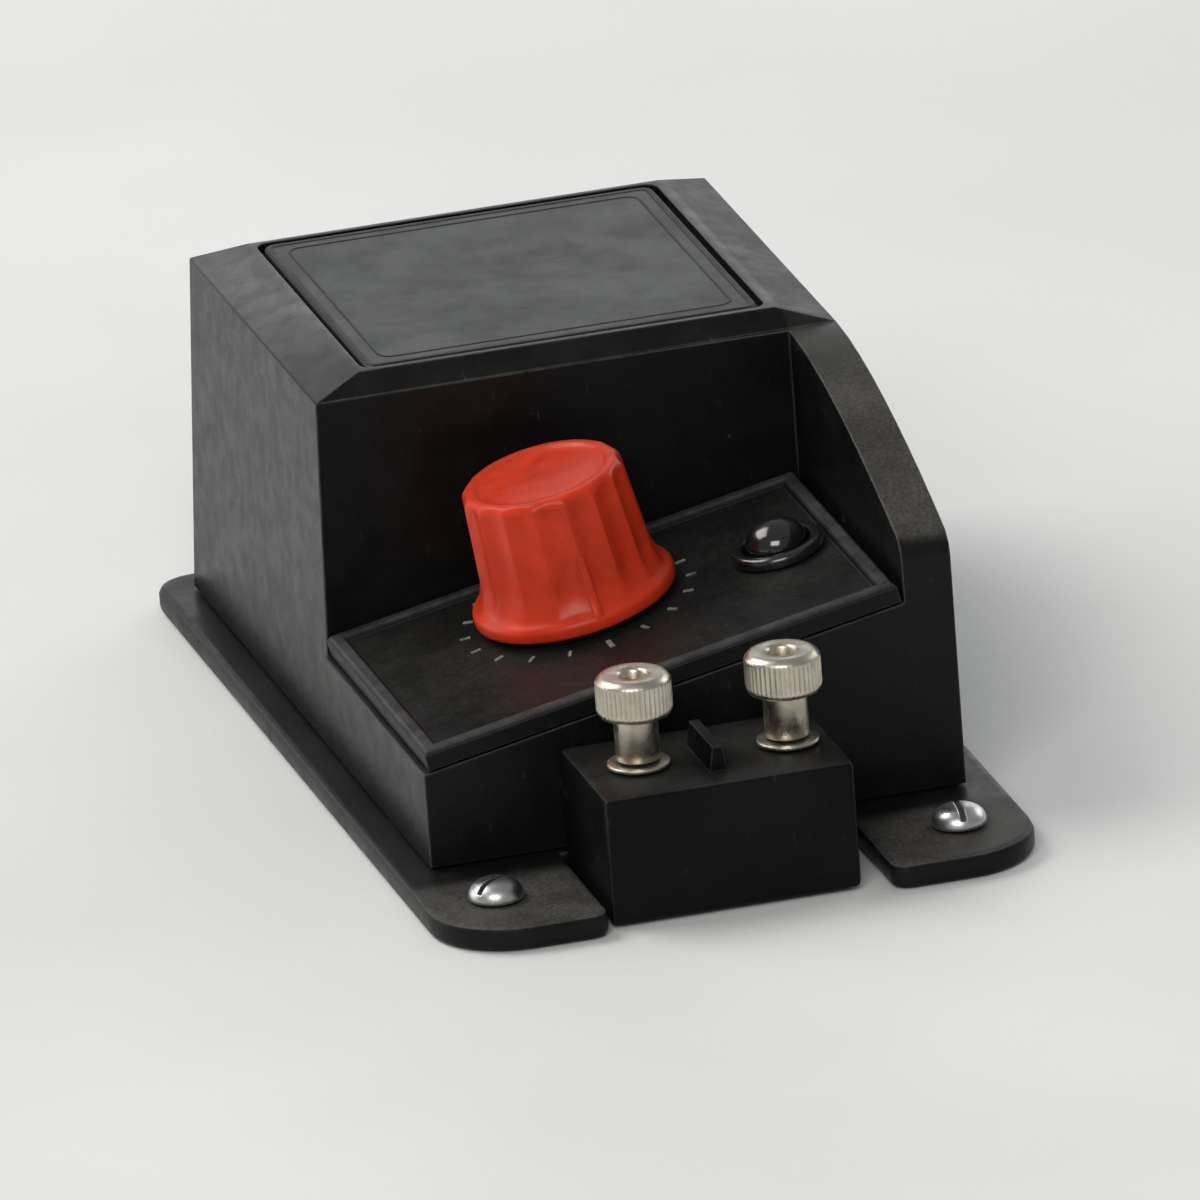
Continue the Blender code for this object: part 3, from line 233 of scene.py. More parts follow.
def moulded(name, base, worn, rough, grain, depth, edge=0.35,
            edge_share=0.8, dust=0.35, specular=0.13, tint=0.25, coat=0.0, border=None,
            film_zone=None, zone_dust_and_highlight=0.0):
    """Injection-moulded plastic: spark grain, rubbed edges, dust on top, painted shade and grime
    in corners.

    The border and film-zone planes are as above() takes them. Past the border plane the surface is
    smoother and lighter: partly rubbed, partly a painted highlight along the raised rim. Past the
    film-zone plane the dust film is as thick as the zone's amount says; on the right cheek that
    thicker film is partly dust and partly a painted highlight on the cheek's lit top.
    """
    g = Graph(name)
    fine = g.noise(grain, 4.0, 0.62)
    pits = g.cells(grain * 1.7)
    cloud = g.noise(14.0, 4.0, 0.6)
    patch = g.noise(3.5, 5.0, 0.65)
    scuff = g.noise(1.0, 3.0, 0.5, g.stretched(1.6, 0.12, 0.5), 0.4)
    lighter = tuple(c * (1.0 + tint) for c in base)
    darker = tuple(c * (1.0 - tint) for c in base)
    colour = g.blend(g.span(cloud, 0.34, 0.68), darker, lighter)
    specks = g.span(pits, 0.08, 0.2, 0.25, 0.0)
    colour = g.blend(specks, colour, tuple(c * 1.9 for c in base))
    height = g.math("ADD", fine, g.math("MULTIPLY", pits, 0.5))
    if border:
        # Painted highlight, with some rubbing: past the border plane the raised rim is lighter.
        raised = g.above(*border)
        rubbed = g.math("MULTIPLY", raised, g.span(patch, 0.3, 0.65, 0.16, 0.42))
        colour = g.blend(rubbed, colour, worn)
        height = g.math("MULTIPLY", height, g.span(raised, 0.0, 1.0, 1.0, 0.3))
    rub = g.math("MULTIPLY", g.edges(edge), g.span(patch, 0.3, 0.62, 0.45, edge_share))
    colour = g.blend(rub, colour, worn)
    lines = g.math("MULTIPLY", g.span(scuff, 0.66, 0.72), g.span(patch, 0.45, 0.7))
    lines = g.math("MULTIPLY", lines, 0.22)
    colour = g.blend(lines, colour, worn)
    film = g.math("MULTIPLY", g.facing_up(), g.span(cloud, 0.25, 0.75, 0.35, 1.0))
    film = g.math("MULTIPLY", film, g.span(fine, 0.35, 0.7, 0.5, 1.0))
    amount = DUST_FILM * dust
    # Past the zone plane the film is thicker: dust, and on the right cheek also a painted
    # highlight on its lit top.
    if film_zone:
        amount = g.span(g.above(*film_zone), 0.0, 1.0, amount, DUST_FILM * zone_dust_and_highlight)
    film = g.math("MULTIPLY", film, amount)
    colour = g.blend(film, colour, DUST_AND_HIGHLIGHT)
    # Painted shade: corners and gaps are darkened towards near black by ambient occlusion, with
    # some grime.
    corner = g.math("MULTIPLY", g.hollows(1.6), 0.55)
    colour = g.blend(corner, colour, GRIME_AND_SHADE)
    gloss = g.span(patch, 0.25, 0.75, rough - 0.06, rough + 0.08)
    gloss = g.math("ADD", gloss, g.math("MULTIPLY", film, 1.2))
    gloss = g.math("SUBTRACT", gloss, g.math("MULTIPLY", rub, 0.08), clamp=True)
    normal = g.relief(height, depth, g.rounded(edge))
    fixed = {"Specular_IOR_Level": specular, "IOR": 1.49}
    if coat:
        fixed["Coat_Weight"] = coat
        fixed["Coat_Roughness"] = 0.09
    return g.finish(colour, gloss, normal, **fixed)


def plated(name, colour, rough, tarnish, lay=(0.15, 6.0, 6.0)):
    """Plated or bare metal: fine tool lines, duller patches, bright edges, dark corners."""
    edge = 0.25
    g = Graph(name)
    lines = g.noise(1.0, 3.0, 0.6, g.stretched(*lay))
    patch = g.noise(2.2, 4.0, 0.6)
    fleck = g.noise(0.35, 2.0, 0.5)
    dull = tuple(c * (1.0 - tarnish) * w for c, w in zip(colour, (1.0, 0.96, 0.88)))
    tone = g.blend(g.span(patch, 0.35, 0.72), colour, dull)
    tone = g.blend(g.span(lines, 0.35, 0.7, 0.0, 0.35), tone, dull)
    bright = tuple(min(1.0, c * 1.18) for c in colour)
    tone = g.blend(g.edges(edge), tone, bright)
    dirt = g.math("MULTIPLY", g.hollows(0.9), 0.8)
    tone = g.blend(dirt, tone, tuple(c * 0.12 for c in dull))
    gloss = g.span(patch, 0.3, 0.75, rough - 0.05, rough + 0.13)
    gloss = g.math("ADD", gloss, g.span(fleck, 0.45, 0.75, 0.0, 0.08))
    gloss = g.math("ADD", gloss, g.math("MULTIPLY", dirt, 0.3), clamp=True)
    normal = g.relief(lines, 0.004, g.rounded(edge))
    return g.finish(tone, gloss, normal, Metallic=1.0)


def red_knob():
    """Glossy red moulding: flow marks, thumb wear on its edges, painted shade and dirt in its
    flutes.
    """
    g = Graph("knob_red_gloss")
    flow = g.noise(7.0, 4.0, 0.55, warp=0.8)
    patch = g.noise(2.6, 5.0, 0.62)
    fine = g.noise(0.5, 3.0, 0.6)
    scratch = g.noise(1.0, 2.0, 0.5, g.stretched(0.18, 2.6, 2.6), 0.3)
    deep = tuple(c * 0.80 for c in RED)
    colour = g.blend(g.span(flow, 0.34, 0.68), deep, RED)
    rub = g.math("MULTIPLY", g.edges(0.4, 0.03, 0.22), g.span(patch, 0.3, 0.7, 0.2, 0.6))
    colour = g.blend(rub, colour, RED_WORN)
    marks = g.math("MULTIPLY", g.span(scratch, 0.68, 0.74), g.span(patch, 0.4, 0.7))
    colour = g.blend(g.math("MULTIPLY", marks, 0.35), colour, RED_WORN)
    # Painted shade: the flutes and hollows are darkened towards a deep red by ambient occlusion,
    # with some dirt.
    corner = g.math("MULTIPLY", g.hollows(1.2), 0.5)
    colour = g.blend(corner, colour, RED_SHADE_AND_DIRT)
    film = g.math("MULTIPLY", g.facing_up(), g.span(patch, 0.35, 0.8, 0.0, 0.05))
    colour = g.blend(film, colour, DUST_AND_HIGHLIGHT)
    gloss = g.span(patch, 0.3, 0.75, 0.27, 0.40)
    gloss = g.math("ADD", gloss, g.math("MULTIPLY", marks, 0.2))
    gloss = g.math("ADD", gloss, g.math("MULTIPLY", film, 1.5), clamp=True)
    height = g.math("ADD", flow, g.math("MULTIPLY", fine, 0.30))
    normal = g.relief(height, 0.013, g.rounded(0.22))
    return g.finish(colour, gloss, normal, Specular_IOR_Level=0.2, IOR=1.5)


def label_sheet():
    """Grey printed plate: fine brushed grain, finger smears, edges rubbed to bare metal."""
    g = Graph("label_grey_sheet")
    brushed = g.noise(1.0, 4.0, 0.6, g.stretched(0.05, 5.0, 5.0))
    cloud = g.noise(9.0, 4.0, 0.6)
    mottle = g.noise(2.2, 5.0, 0.65)
    scratch = g.noise(1.0, 2.0, 0.5, g.stretched(0.10, 2.4, 1.0), 0.6)
    colour = g.blend(g.span(cloud, 0.3, 0.7), tuple(c * 0.86 for c in LABEL),
                     tuple(c * 1.14 for c in LABEL))
    colour = g.blend(g.span(mottle, 0.35, 0.7, 0.0, 0.35), colour,
                     tuple(c * 1.4 for c in LABEL))
    colour = g.blend(g.span(brushed, 0.4, 0.7, 0.0, 0.3), colour,
                     tuple(c * 0.7 for c in LABEL))
    marks = g.math("MULTIPLY", g.span(scratch, 0.69, 0.74), g.span(mottle, 0.42, 0.7))
    rub = g.math("MAXIMUM", g.math("MULTIPLY", g.edges(0.2), 0.7),
                 g.math("MULTIPLY", marks, 0.4))
    colour = g.blend(rub, colour, (0.30, 0.30, 0.30))
    gloss = g.span(cloud, 0.3, 0.72, 0.36, 0.5)
    gloss = g.math("ADD", gloss, g.span(mottle, 0.4, 0.7, 0.0, 0.06), clamp=True)
    normal = g.relief(brushed, 0.006, g.rounded(0.15))
    return g.finish(colour, gloss, normal, Specular_IOR_Level=0.16)


def paint(name, base):
    """Thin paint rubbed off in places, so that the dark plastic under it shows."""
    g = Graph(name)
    patch = g.noise(1.1, 4.0, 0.62)
    fine = g.noise(0.3, 3.0, 0.6)
    colour = g.blend(g.span(patch, 0.42, 0.72), base, tuple(c * 0.3 for c in base))
    colour = g.blend(g.span(fine, 0.5, 0.75, 0.0, 0.5), colour, tuple(c * 0.5 for c in base))
    normal = g.relief(fine, 0.01, g.geometry.outputs["Normal"])
    gloss = g.span(patch, 0.3, 0.75, 0.45, 0.6)
    return g.finish(colour, gloss, normal, Specular_IOR_Level=0.2)


def wound(name, bright, dark, pitch, axis="Z", metallic=0.6, rough=0.3):
    """Turns of wire lying side by side, with painted shade in the grooves between them."""
    g = Graph(name)
    turns = g.bands(pitch, axis, 0.5)
    patch = g.noise(3.0, 4.0, 0.6)
    # Painted shade: the colour runs from dark in the grooves between turns to bright on their
    # crowns.
    colour = g.blend(g.span(turns, 0.1, 0.8), dark, bright)
    shade = g.math("MULTIPLY", g.span(patch, 0.35, 0.75), 0.4)
    colour = g.blend(shade, colour, dark)
    gloss = g.span(patch, 0.3, 0.75, rough - 0.06, rough + 0.12)
    normal = g.relief(turns, pitch * 0.4, g.rounded(0.2))
    return g.finish(colour, gloss, normal, Metallic=metallic)


def laminations():
    """A stack of varnished steel sheets, with rust starting at their cut edges."""
    g = Graph("steel_core_stack")
    sheets = g.bands(0.5, "Y", 0.05, "SAW")
    gap = g.span(sheets, 0.0, 0.22, 1.0, 0.0)
    patch = g.noise(4.0, 5.0, 0.65)
    colour = g.blend(g.span(patch, 0.35, 0.7), (0.11, 0.105, 0.10), (0.05, 0.047, 0.045))
    rust = g.math("MULTIPLY", g.span(g.noise(2.0, 5.0, 0.7), 0.55, 0.75), 0.5)
    colour = g.blend(rust, colour, (0.16, 0.06, 0.025))
    colour = g.blend(gap, colour, (0.012, 0.011, 0.010))
    gloss = g.span(patch, 0.3, 0.75, 0.36, 0.56)
    normal = g.relief(sheets, 0.05, g.rounded(0.2))
    return g.finish(colour, gloss, normal, Metallic=0.65)


def fibred(name, base, second, sx, sy, sz, rough, depth):
    """Material with a direction in it, such as crepe tape or paper laminate."""
    g = Graph(name)
    strands = g.noise(1.0, 4.0, 0.6, g.stretched(sx, sy, sz))
    cloud = g.noise(5.0, 4.0, 0.6)
    colour = g.blend(g.span(strands, 0.35, 0.68), base, second)
    shade = g.math("MULTIPLY", g.span(cloud, 0.35, 0.75), 0.35)
    colour = g.blend(shade, colour, tuple(c * 0.55 for c in base))
    edge = g.math("MULTIPLY", g.edges(0.25), 0.4)
    colour = g.blend(edge, colour, tuple(min(1.0, c * 1.5 + 0.02) for c in base))
    gloss = g.span(cloud, 0.3, 0.75, rough - 0.07, rough + 0.1)
    normal = g.relief(strands, depth, g.rounded(0.2))
    return g.finish(colour, gloss, normal, Specular_IOR_Level=0.4)


def build_materials():
    """One material for each of the record's slots, and the paint of the dial's ticks."""
    light_edge = {"edge": 0.3, "edge_share": 0.55}
    return {
        "black_shell": moulded("black_shell_abs", BLACK, RUBBED_WARM, 0.30, 0.42, 0.010,
                               edge_share=0.95, film_zone=CHEEK_HIGHLIGHT_ZONE, zone_dust_and_highlight=2.4),
        "black_base": moulded("black_base_abs", BLACK, RUBBED_WARM, 0.38, 0.5, 0.014,
                              dust=0.15, film_zone=TABS, zone_dust_and_highlight=3.0),
        "black_panel": moulded("black_panel_abs", BLACK, RUBBED, 0.38, 0.7, 0.032,
                               dust=0.45, border=PANEL_BORDER, **light_edge),
        "black_block": moulded("black_block_phenolic", BLACK, RUBBED, 0.32, 0.4, 0.009,
                               dust=0.9, specular=0.06, **light_edge),
        "black_gloss": moulded("black_gloss_abs", (0.008, 0.008, 0.008), RUBBED, 0.15, 0.8,
                               0.0012, edge_share=0.35, dust=0.15, specular=0.55, coat=0.5),
        "label_grey": label_sheet(),
        "tick_paint": paint("tick_paint_grey", (0.20, 0.20, 0.19)),
        "knob_red": red_knob(),
        "nickel": plated("nickel_plate", NICKEL, 0.29, 0.16),
        "zinc": plated("zinc_plate", ZINC, 0.30, 0.3, (3.0, 3.0, 3.0)),
        "brass": plated("brass_bare", BRASS, 0.27, 0.45, (3.0, 3.0, 0.3)),
        "steel_core": laminations(),
        "copper": wound("copper_enamelled", (0.62, 0.20, 0.07), (0.16, 0.035, 0.012), 0.28),
        "resistance_wire": wound("resistance_wire_turns", (0.36, 0.34, 0.31),
                                 (0.05, 0.045, 0.04), 0.45, "X", 0.85, 0.36),
        "bobbin_nylon": moulded("bobbin_nylon_white", (0.62, 0.60, 0.52), (0.75, 0.74, 0.68),
                                0.42, 0.6, 0.02, tint=0.08, dust=0.2),
        "tape_yellow": fibred("tape_yellow_crepe", (0.55, 0.36, 0.06), (0.66, 0.47, 0.12),
                              4.0, 4.0, 0.5, 0.38, 0.02),
        "paxolin": fibred("paxolin_sheet", (0.17, 0.075, 0.024), (0.25, 0.125, 0.045),
                          0.35, 2.2, 3.0, 0.42, 0.01),
        "ceramic": moulded("ceramic_steatite", (0.60, 0.57, 0.50), (0.72, 0.70, 0.65), 0.62,
                           0.5, 0.03, tint=0.10, dust=0.3),
        "carbon": fibred("carbon_brush_block", (0.020, 0.020, 0.021), (0.05, 0.05, 0.052),
                         2.0, 2.0, 2.0, 0.36, 0.015),
        "capacitor_blue": moulded("capacitor_sleeve_blue", (0.020, 0.075, 0.22),
                                  (0.16, 0.25, 0.42), 0.3, 0.9, 0.01, tint=0.15),
        "rubber": moulded("rubber_black", (0.014, 0.014, 0.014), (0.05, 0.05, 0.05), 0.68,
                          0.3, 0.025, edge_share=0.4, specular=0.3),
        "lead_red": moulded("lead_red_pvc", (0.42, 0.020, 0.012), (0.55, 0.10, 0.07), 0.4,
                            0.5, 0.01, tint=0.12, dust=0.2),
        "lead_black": moulded("lead_black_pvc", (0.014, 0.014, 0.015), (0.06, 0.06, 0.06),
                              0.42, 0.5, 0.01, dust=0.3),
    }


# ---------------------------------------------------------------- meshes


def new_mesh(name, verts, faces):
    mesh = bpy.data.meshes.new(name)
    mesh.from_pydata([tuple(v) for v in verts], [], faces)
    mesh.validate()
    made = bpy.data.objects.new(name, mesh)
    bpy.context.scene.collection.objects.link(made)
    return made


def rings_mesh(name, rings, matrix, closed=False):
    """Skins rings of equal length. The last joins the first if closed; if not, both are capped."""
    count = len(rings[0])
    verts = [matrix @ (Vector(p) * MM) for row in rings for p in row]
    faces = []
    pairs = len(rings) if closed else len(rings) - 1
    for i in range(pairs):
        a = i * count
        b = (i + 1) % len(rings) * count
        for j in range(count):
            k = (j + 1) % count
            faces.append((a + j, a + k, b + k, b + j))
    if not closed:
        faces.append(tuple(reversed(range(count))))
        faces.append(tuple(range((len(rings) - 1) * count, len(rings) * count)))
    return new_mesh(name, verts, faces)


def ring(radius, z, count, wave=None):
    """A level ring of points; wave says how far each is set in, by its angle."""
    points = []
    for i in range(count):
        angle = TURN * i / count
        r = radius if wave is None else radius - wave(angle)
        points.append((r * math.cos(angle), r * math.sin(angle), z))
    return points


def lathe(name, profile, matrix, count=96, closed=True, waves=None):
    """Turns (radius, height) points round Z. A closed profile leaves a bore along the axis."""
    rings = []
    for i, (radius, z) in enumerate(profile):
        rings.append(ring(radius, z, count, waves[i] if waves else None))
    return rings_mesh(name, rings, matrix, closed)


def work_in(piece, modifier):
    """Replaces the piece's mesh by the one that its modifier makes."""
    graph = bpy.context.evaluated_depsgraph_get()
    mesh = bpy.data.meshes.new_from_object(piece.evaluated_get(graph))
    piece.modifiers.remove(modifier)
    old = piece.data
    piece.data = mesh
    bpy.data.meshes.remove(old)


def carve(piece, cutter, operation="DIFFERENCE"):
    """Cuts the cutter out of the piece, or joins it on, and removes the cutter."""
    tool = piece.modifiers.new("carve", "BOOLEAN")
    tool.operation = operation
    tool.solver = "EXACT"
    tool.object = cutter
    bpy.context.view_layer.update()
    work_in(piece, tool)
    bpy.data.objects.remove(cutter)


def block(name, low, high, matrix):
    """A box between two corners."""
    (x0, y0, z0), (x1, y1, z1) = low, high
    rings = []
    for z in (z0, z1):
        rings.append([(x0, y0, z), (x1, y0, z), (x1, y1, z), (x0, y1, z)])
    return rings_mesh(name, rings, matrix)


def smooth(piece, angle):
    """Smooth shading that stops at edges sharper than the angle, in degrees."""
    mesh = piece.data
    mesh.polygons.foreach_set("use_smooth", [True] * len(mesh.polygons))
    split = piece.modifiers.new("sharp_edges", "EDGE_SPLIT")
    split.split_angle = math.radians(angle)


def dress(piece, slot, body, *nodes):
    """Gives a piece the material of its slot and its body, and hides the CAD nodes that it stands
    for.
    """
    piece.data.materials.clear()
    piece.data.materials.append(MATERIALS[slot])
    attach(piece, body)
    if nodes:
        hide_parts(*nodes)


def dress_node(node):
    """A CAD node's mesh stays: modifiers join its split triangles and shade its curves."""
    slot = node.material_slots[0]
    slot.material = MATERIALS[slot.material.name]
    weld = node.modifiers.new("weld", "WELD")
    weld.merge_threshold = 2e-6   # metres
    split = node.modifiers.new("sharp_edges", "EDGE_SPLIT")
    split.split_angle = math.radians(28.0)
    split.use_edge_sharp = False
    even = node.modifiers.new("even_normals", "WEIGHTED_NORMAL")
    even.mode = "FACE_AREA"


# ---------------------------------------------------------------- places

JOINTS = {joint["name"]: joint for joint in frame["joints"]}


def frame_along(origin, normal):
    """A frame at origin whose Z is the normal and whose Y stays close to the scene's Y."""
    z = Vector(normal).normalized()
    x = Vector((0.0, 1.0, 0.0)).cross(z).normalized()
    y = z.cross(x)
    turned = Matrix((x, y, z)).transposed().to_4x4()
    return Matrix.Translation(origin) @ turned


def middle(node):
    """The centre of a CAD node's box, in metres."""
    low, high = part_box(node)
    return (low + high) / 2.0


# Where the panel's top face meets the knob's axis.
KNOB_AXIS = Vector(JOINTS["speed_turn"]["axis"]).normalized()
KNOB_ORIGIN = Vector(JOINTS["speed_turn"]["pos_m"])
KNOB_FRAME = frame_along(KNOB_ORIGIN, KNOB_AXIS)
# Planes where a material changes: a point, a normal, and where the change starts and ends.
# Past the panel's rim plane the colour is lighter: a painted highlight along the rim, with some
# rubbing.
PANEL_BORDER = (KNOB_ORIGIN, KNOB_AXIS, -0.45, -0.15)        # the panel's raised rim
# Past this plane the thicker dust film also paints the highlight on the right cheek's lit top.
CHEEK_HIGHLIGHT_ZONE = ((0.0262, 0.0, 0.0), (1.0, 0.0, 0.0), 0.0, 0.6)      # the right cheek and beyond
TABS = ((0.0, -0.048, 0.0), (0.0, -1.0, 0.0), 0.0, 6.0)      # the front tabs
MATERIALS = build_materials()


def panel_frame(node):
    """A frame on the panel's plane, on the axis of a round node that stands on the panel."""
    spot = middle(node)
    rise = (spot - KNOB_ORIGIN).dot(KNOB_AXIS)
    return frame_along(spot - rise * KNOB_AXIS, KNOB_AXIS)


# ------------------------------------------------------------------ knob

# Heights are above the panel's top face.
KNOB_LOW = 0.3
SKIRT_R = 12.2
SKIRT_TOP = 2.0
GRIP_R = 10.4          # at the foot of the grip
CROWN_R = 9.8          # at its top
SWEEP_TOP = 6.2        # where the skirt's hollow sweep meets the grip
KNOB_TOP = 16.8
CROWN_H = 1.4          # height of the rounding at the top
HOLLOW_R = 9.0         # room under the skirt
HOLLOW_TOP = 4.2
BORE_R = 3.05          # for the 6 mm shaft
BORE_TOP = 14.5
FLUTES = 16
FLUTE_DEPTH = 0.55
KNOB_COUNT = FLUTES * 14


def flute(share):
    """How far the knob's side is hollowed at an angle, with a crisp land between flutes."""
    def depth(angle):
        return share * FLUTE_DEPTH * abs(math.sin(FLUTES * angle / 2.0)) ** 1.1
    return depth


def build_knob():
    """Fluted knob with a flared skirt, hollow below, with a shaft bore and a pointer rib."""
    low = KNOB_LOW
    # Each row is a radius, a height and the share of the flutes' depth.
    rows = [(HOLLOW_R, low, 0), (11.55, low, 0), (11.8, low + 0.03, 0), (12.05, low + 0.2, 0),
            (SKIRT_R, low + 0.5, 0), (SKIRT_R, SKIRT_TOP - 0.35, 0),
            (12.13, SKIRT_TOP - 0.08, 0), (11.95, SKIRT_TOP + 0.16, 0),
            (11.7, SKIRT_TOP + 0.38, 0)]
    for i in range(1, 13):
        t = i / 12.0
        z = SKIRT_TOP + 0.4 + (SWEEP_TOP - SKIRT_TOP - 0.4) * t
        u = (z - SKIRT_TOP) / (SWEEP_TOP - SKIRT_TOP)
        r = GRIP_R + (SKIRT_R - 0.5 - GRIP_R) * (1.0 - u) ** 2
        rows.append((r, z, t ** 0.8))
    for i in range(1, 7):
        t = i / 6.0
        z = SWEEP_TOP + (KNOB_TOP - CROWN_H - SWEEP_TOP) * t
        rows.append((GRIP_R + (CROWN_R - GRIP_R) * t, z, 1))
    for deg in (15, 30, 45, 60, 75, 90):
        a = math.radians(deg)
        r = CROWN_R - 1.1 * (1.0 - math.cos(a))
        z = KNOB_TOP - CROWN_H + CROWN_H * math.sin(a)
        rows.append((r, z, max(0.0, 1.0 - deg / 80.0)))
    # The top is dished inside a narrow rim.
    dish_r = CROWN_R - 2.3
    dish_z = KNOB_TOP - 0.4
    rows += [(CROWN_R - 1.5, KNOB_TOP, 0), (CROWN_R - 1.75, KNOB_TOP - 0.06, 0),
             (CROWN_R - 2.0, KNOB_TOP - 0.26, 0), (dish_r, KNOB_TOP - 0.38, 0)]
    for i in range(1, 8):
        rows.append((dish_r * (1.0 - i / 8.0), dish_z, 0))
    rows.append((0.4, dish_z, 0))
    rings = [ring(r, z, KNOB_COUNT, flute(w) if w else None) for r, z, w in rows]
    body = rings_mesh("speed_knob_body", rings, KNOB_FRAME)
    # The room under the skirt and the shaft's bore, from below upward.
    room = [(HOLLOW_R, low - 1.0), (HOLLOW_R, 3.8), (8.9, 4.1), (8.6, HOLLOW_TOP),
            (BORE_R, HOLLOW_TOP), (BORE_R, BORE_TOP), (0.2, BORE_TOP)]
    hollow = rings_mesh("speed_knob_hollow", [ring(r, z, 96) for r, z in room], KNOB_FRAME)
    carve(body, hollow)
    # The grub screw's way in, from the back.
    grub_way = KNOB_FRAME @ Matrix.Translation((0.0, 6.0 * MM, 9.0 * MM))
    grub_way = grub_way @ Matrix.Rotation(-math.pi / 2, 4, "X")
    way = lathe("speed_knob_way", [(1.25, -4.0), (1.25, 8.0)], grub_way, 40, False)
    carve(body, way)
    # A raised pointer rib, from the skirt's edge up the front: place, half width, top.
    rib = []
    for y, half, top in ((-12.15, 0.40, 1.8), (-12.08, 0.50, 2.35), (-11.8, 0.52, 3.0),
                         (-11.4, 0.52, 3.75), (-11.1, 0.50, 4.8), (-10.85, 0.46, 6.3),
                         (-10.65, 0.42, 8.2), (-10.45, 0.36, 9.4), (-9.6, 0.30, 9.6)):
        rib.append([(-half, y, 1.2), (half, y, 1.2), (half, y, top - 0.25),
                    (half * 0.6, y, top), (-half * 0.6, y, top), (-half, y, top - 0.25)])
    nub = rings_mesh("speed_knob_nub", rib, KNOB_FRAME)
    carve(body, nub, "UNION")
    smooth(body, 40.0)
    dress(body, "knob_red", "speed_control", "speed_knob")


# -------------------------------------------------------- reset button

# The spring's heights are below the panel's top face.
SPRING_R = 2.7
SPRING_WIRE_R = 0.3
SPRING_LOW = -10.8
SPRING_TOP = -5.8
SPRING_TURNS = 5
SPRING_STEPS = 44    # to a turn
SPRING_SIDES = 12


def build_reset():
    """The cut-out's collar in the panel, and the domed button inside it."""
    place = panel_frame("reset_collar")
    rim = [(2.3, -4.7), (4.5, -4.7), (4.5, -0.4), (5.6, -0.4), (5.6, 0.35), (5.5, 0.62),
           (5.3, 0.80), (5.05, 0.88), (4.75, 0.9), (4.4, 0.87), (4.2, 0.76), (4.1, 0.55),
           (4.1, -2.3), (2.3, -2.3)]
    collar = lathe("reset_collar_ring", rim, place)
    smooth(collar, 30.0)
    dress(collar, "black_gloss", "case", "reset_collar")
    dome_r, dome_low, dome_top = 3.7, 0.7, 3.6
    rows = [(0.9, -10.9), (0.9, -8.4), (2.0, -8.4), (2.0, 0.0), (dome_r, 0.0)]
    for i in range(15):
        a = math.radians(90.0 * i / 15)
        rows.append((dome_r * math.cos(a), dome_low + (dome_top - dome_low) * math.sin(a)))
    rows.append((0.12, dome_top))
    button = lathe("reset_button_dome", rows, place, 96, False)
    smooth(button, 30.0)
    dress(button, "black_gloss", "reset_plunger", "reset_button")


def build_spring():
    """Return spring with closed end coils."""
    place = panel_frame("reset_collar")
    low = SPRING_LOW + SPRING_WIRE_R
    high = SPRING_TOP - SPRING_WIRE_R
    climb = 2.0 * SPRING_WIRE_R + 0.02   # of the closed first and last turns
    rings = []
    for i in range(SPRING_TURNS * SPRING_STEPS + 1):
        turn = i / SPRING_STEPS
        if turn < 1.0:
            z = low + climb * turn
        elif turn > SPRING_TURNS - 1.0:
            z = high - climb * (SPRING_TURNS - turn)
        else:
            share = (turn - 1.0) / (SPRING_TURNS - 2.0)
            z = low + climb + (high - low - 2.0 * climb) * share
        a = TURN * turn
        points = []
        for j in range(SPRING_SIDES):
            b = -TURN * j / SPRING_SIDES
            r = SPRING_R + SPRING_WIRE_R * math.cos(b)
            points.append((r * math.cos(a), r * math.sin(a), z + SPRING_WIRE_R * math.sin(b)))
        rings.append(points)
    spring = rings_mesh("reset_spring_coil", rings, place)
    smooth(spring, 50.0)
    dress(spring, "nickel", "case", "reset_spring")
    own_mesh(spring)


# ------------------------------------------------------------ terminals

# Heights are above the board.
RIDGES = 44
RIDGE_DEPTH = 0.2
THREAD_R = 1.49
THREAD_PITCH = 0.5
THREAD_DEPTH = 0.26
THREAD_LOW, THREAD_TOP = 8.0, 26.3
HEX_FLAT = 2.598     # half the width across the stud head's flats
STUD_COUNT = 32


def knurl(share):
    """How far the nut's side is set in between its straight ridges."""
    def depth(angle):
        t = (angle * RIDGES / TURN) % 1.0
        return share * RIDGE_DEPTH * (1.0 - abs(2.0 * t - 1.0))
    return depth


def build_nut(side, place):
    """Thumb nut: collar, straight-knurled head between two chamfers, and a bore."""
    # Each row is a radius, a height and the share of the knurl's depth.
    rows = [(1.6, 17.1, 0), (2.35, 17.1, 0), (2.52, 17.16, 0), (2.6, 17.3, 0),
            (2.6, 22.1, 0), (2.66, 22.35, 0), (2.85, 22.55, 0), (3.1, 22.6, 0),
            (3.95, 22.6, 0), (4.12, 22.68, 0), (4.35, 23.05, 0), (4.42, 23.25, 0),
            (4.5, 23.4, 0.7), (4.5, 23.6, 1), (4.5, 24.6, 1), (4.5, 25.6, 1),
            (4.5, 26.5, 1), (4.5, 26.7, 0.7), (4.42, 26.9, 0), (4.3, 27.1, 0),
            (3.95, 27.45, 0), (3.7, 27.57, 0), (3.4, 27.6, 0), (2.1, 27.6, 0),
            (1.85, 27.52, 0), (1.6, 27.2, 0), (1.6, 22.0, 0)]
    profile = [(r, z) for r, z, _ in rows]
    waves = [knurl(w) if w else None for _, _, w in rows]
    nut = lathe(f"terminal_nut_{side}_knurled", profile, place, RIDGES * 4, True, waves)
    smooth(nut, 50.0)
    dress(nut, "nickel", f"thumb_nut_{side}", f"terminal_nut_{side}")


def build_washer(side, place):
    """Clamping washer with rounded rims."""
    rim = [(1.7, 16.3), (3.6, 16.3), (3.68, 16.36), (3.7, 16.45), (3.7, 16.65),
           (3.68, 16.74), (3.6, 16.8), (1.85, 16.8), (1.7, 16.72)]
    washer = lathe(f"terminal_washer_{side}_disc", rim, place)
    smooth(washer, 40.0)
    dress(washer, "nickel", f"clamp_{side}", f"terminal_washer_{side}")


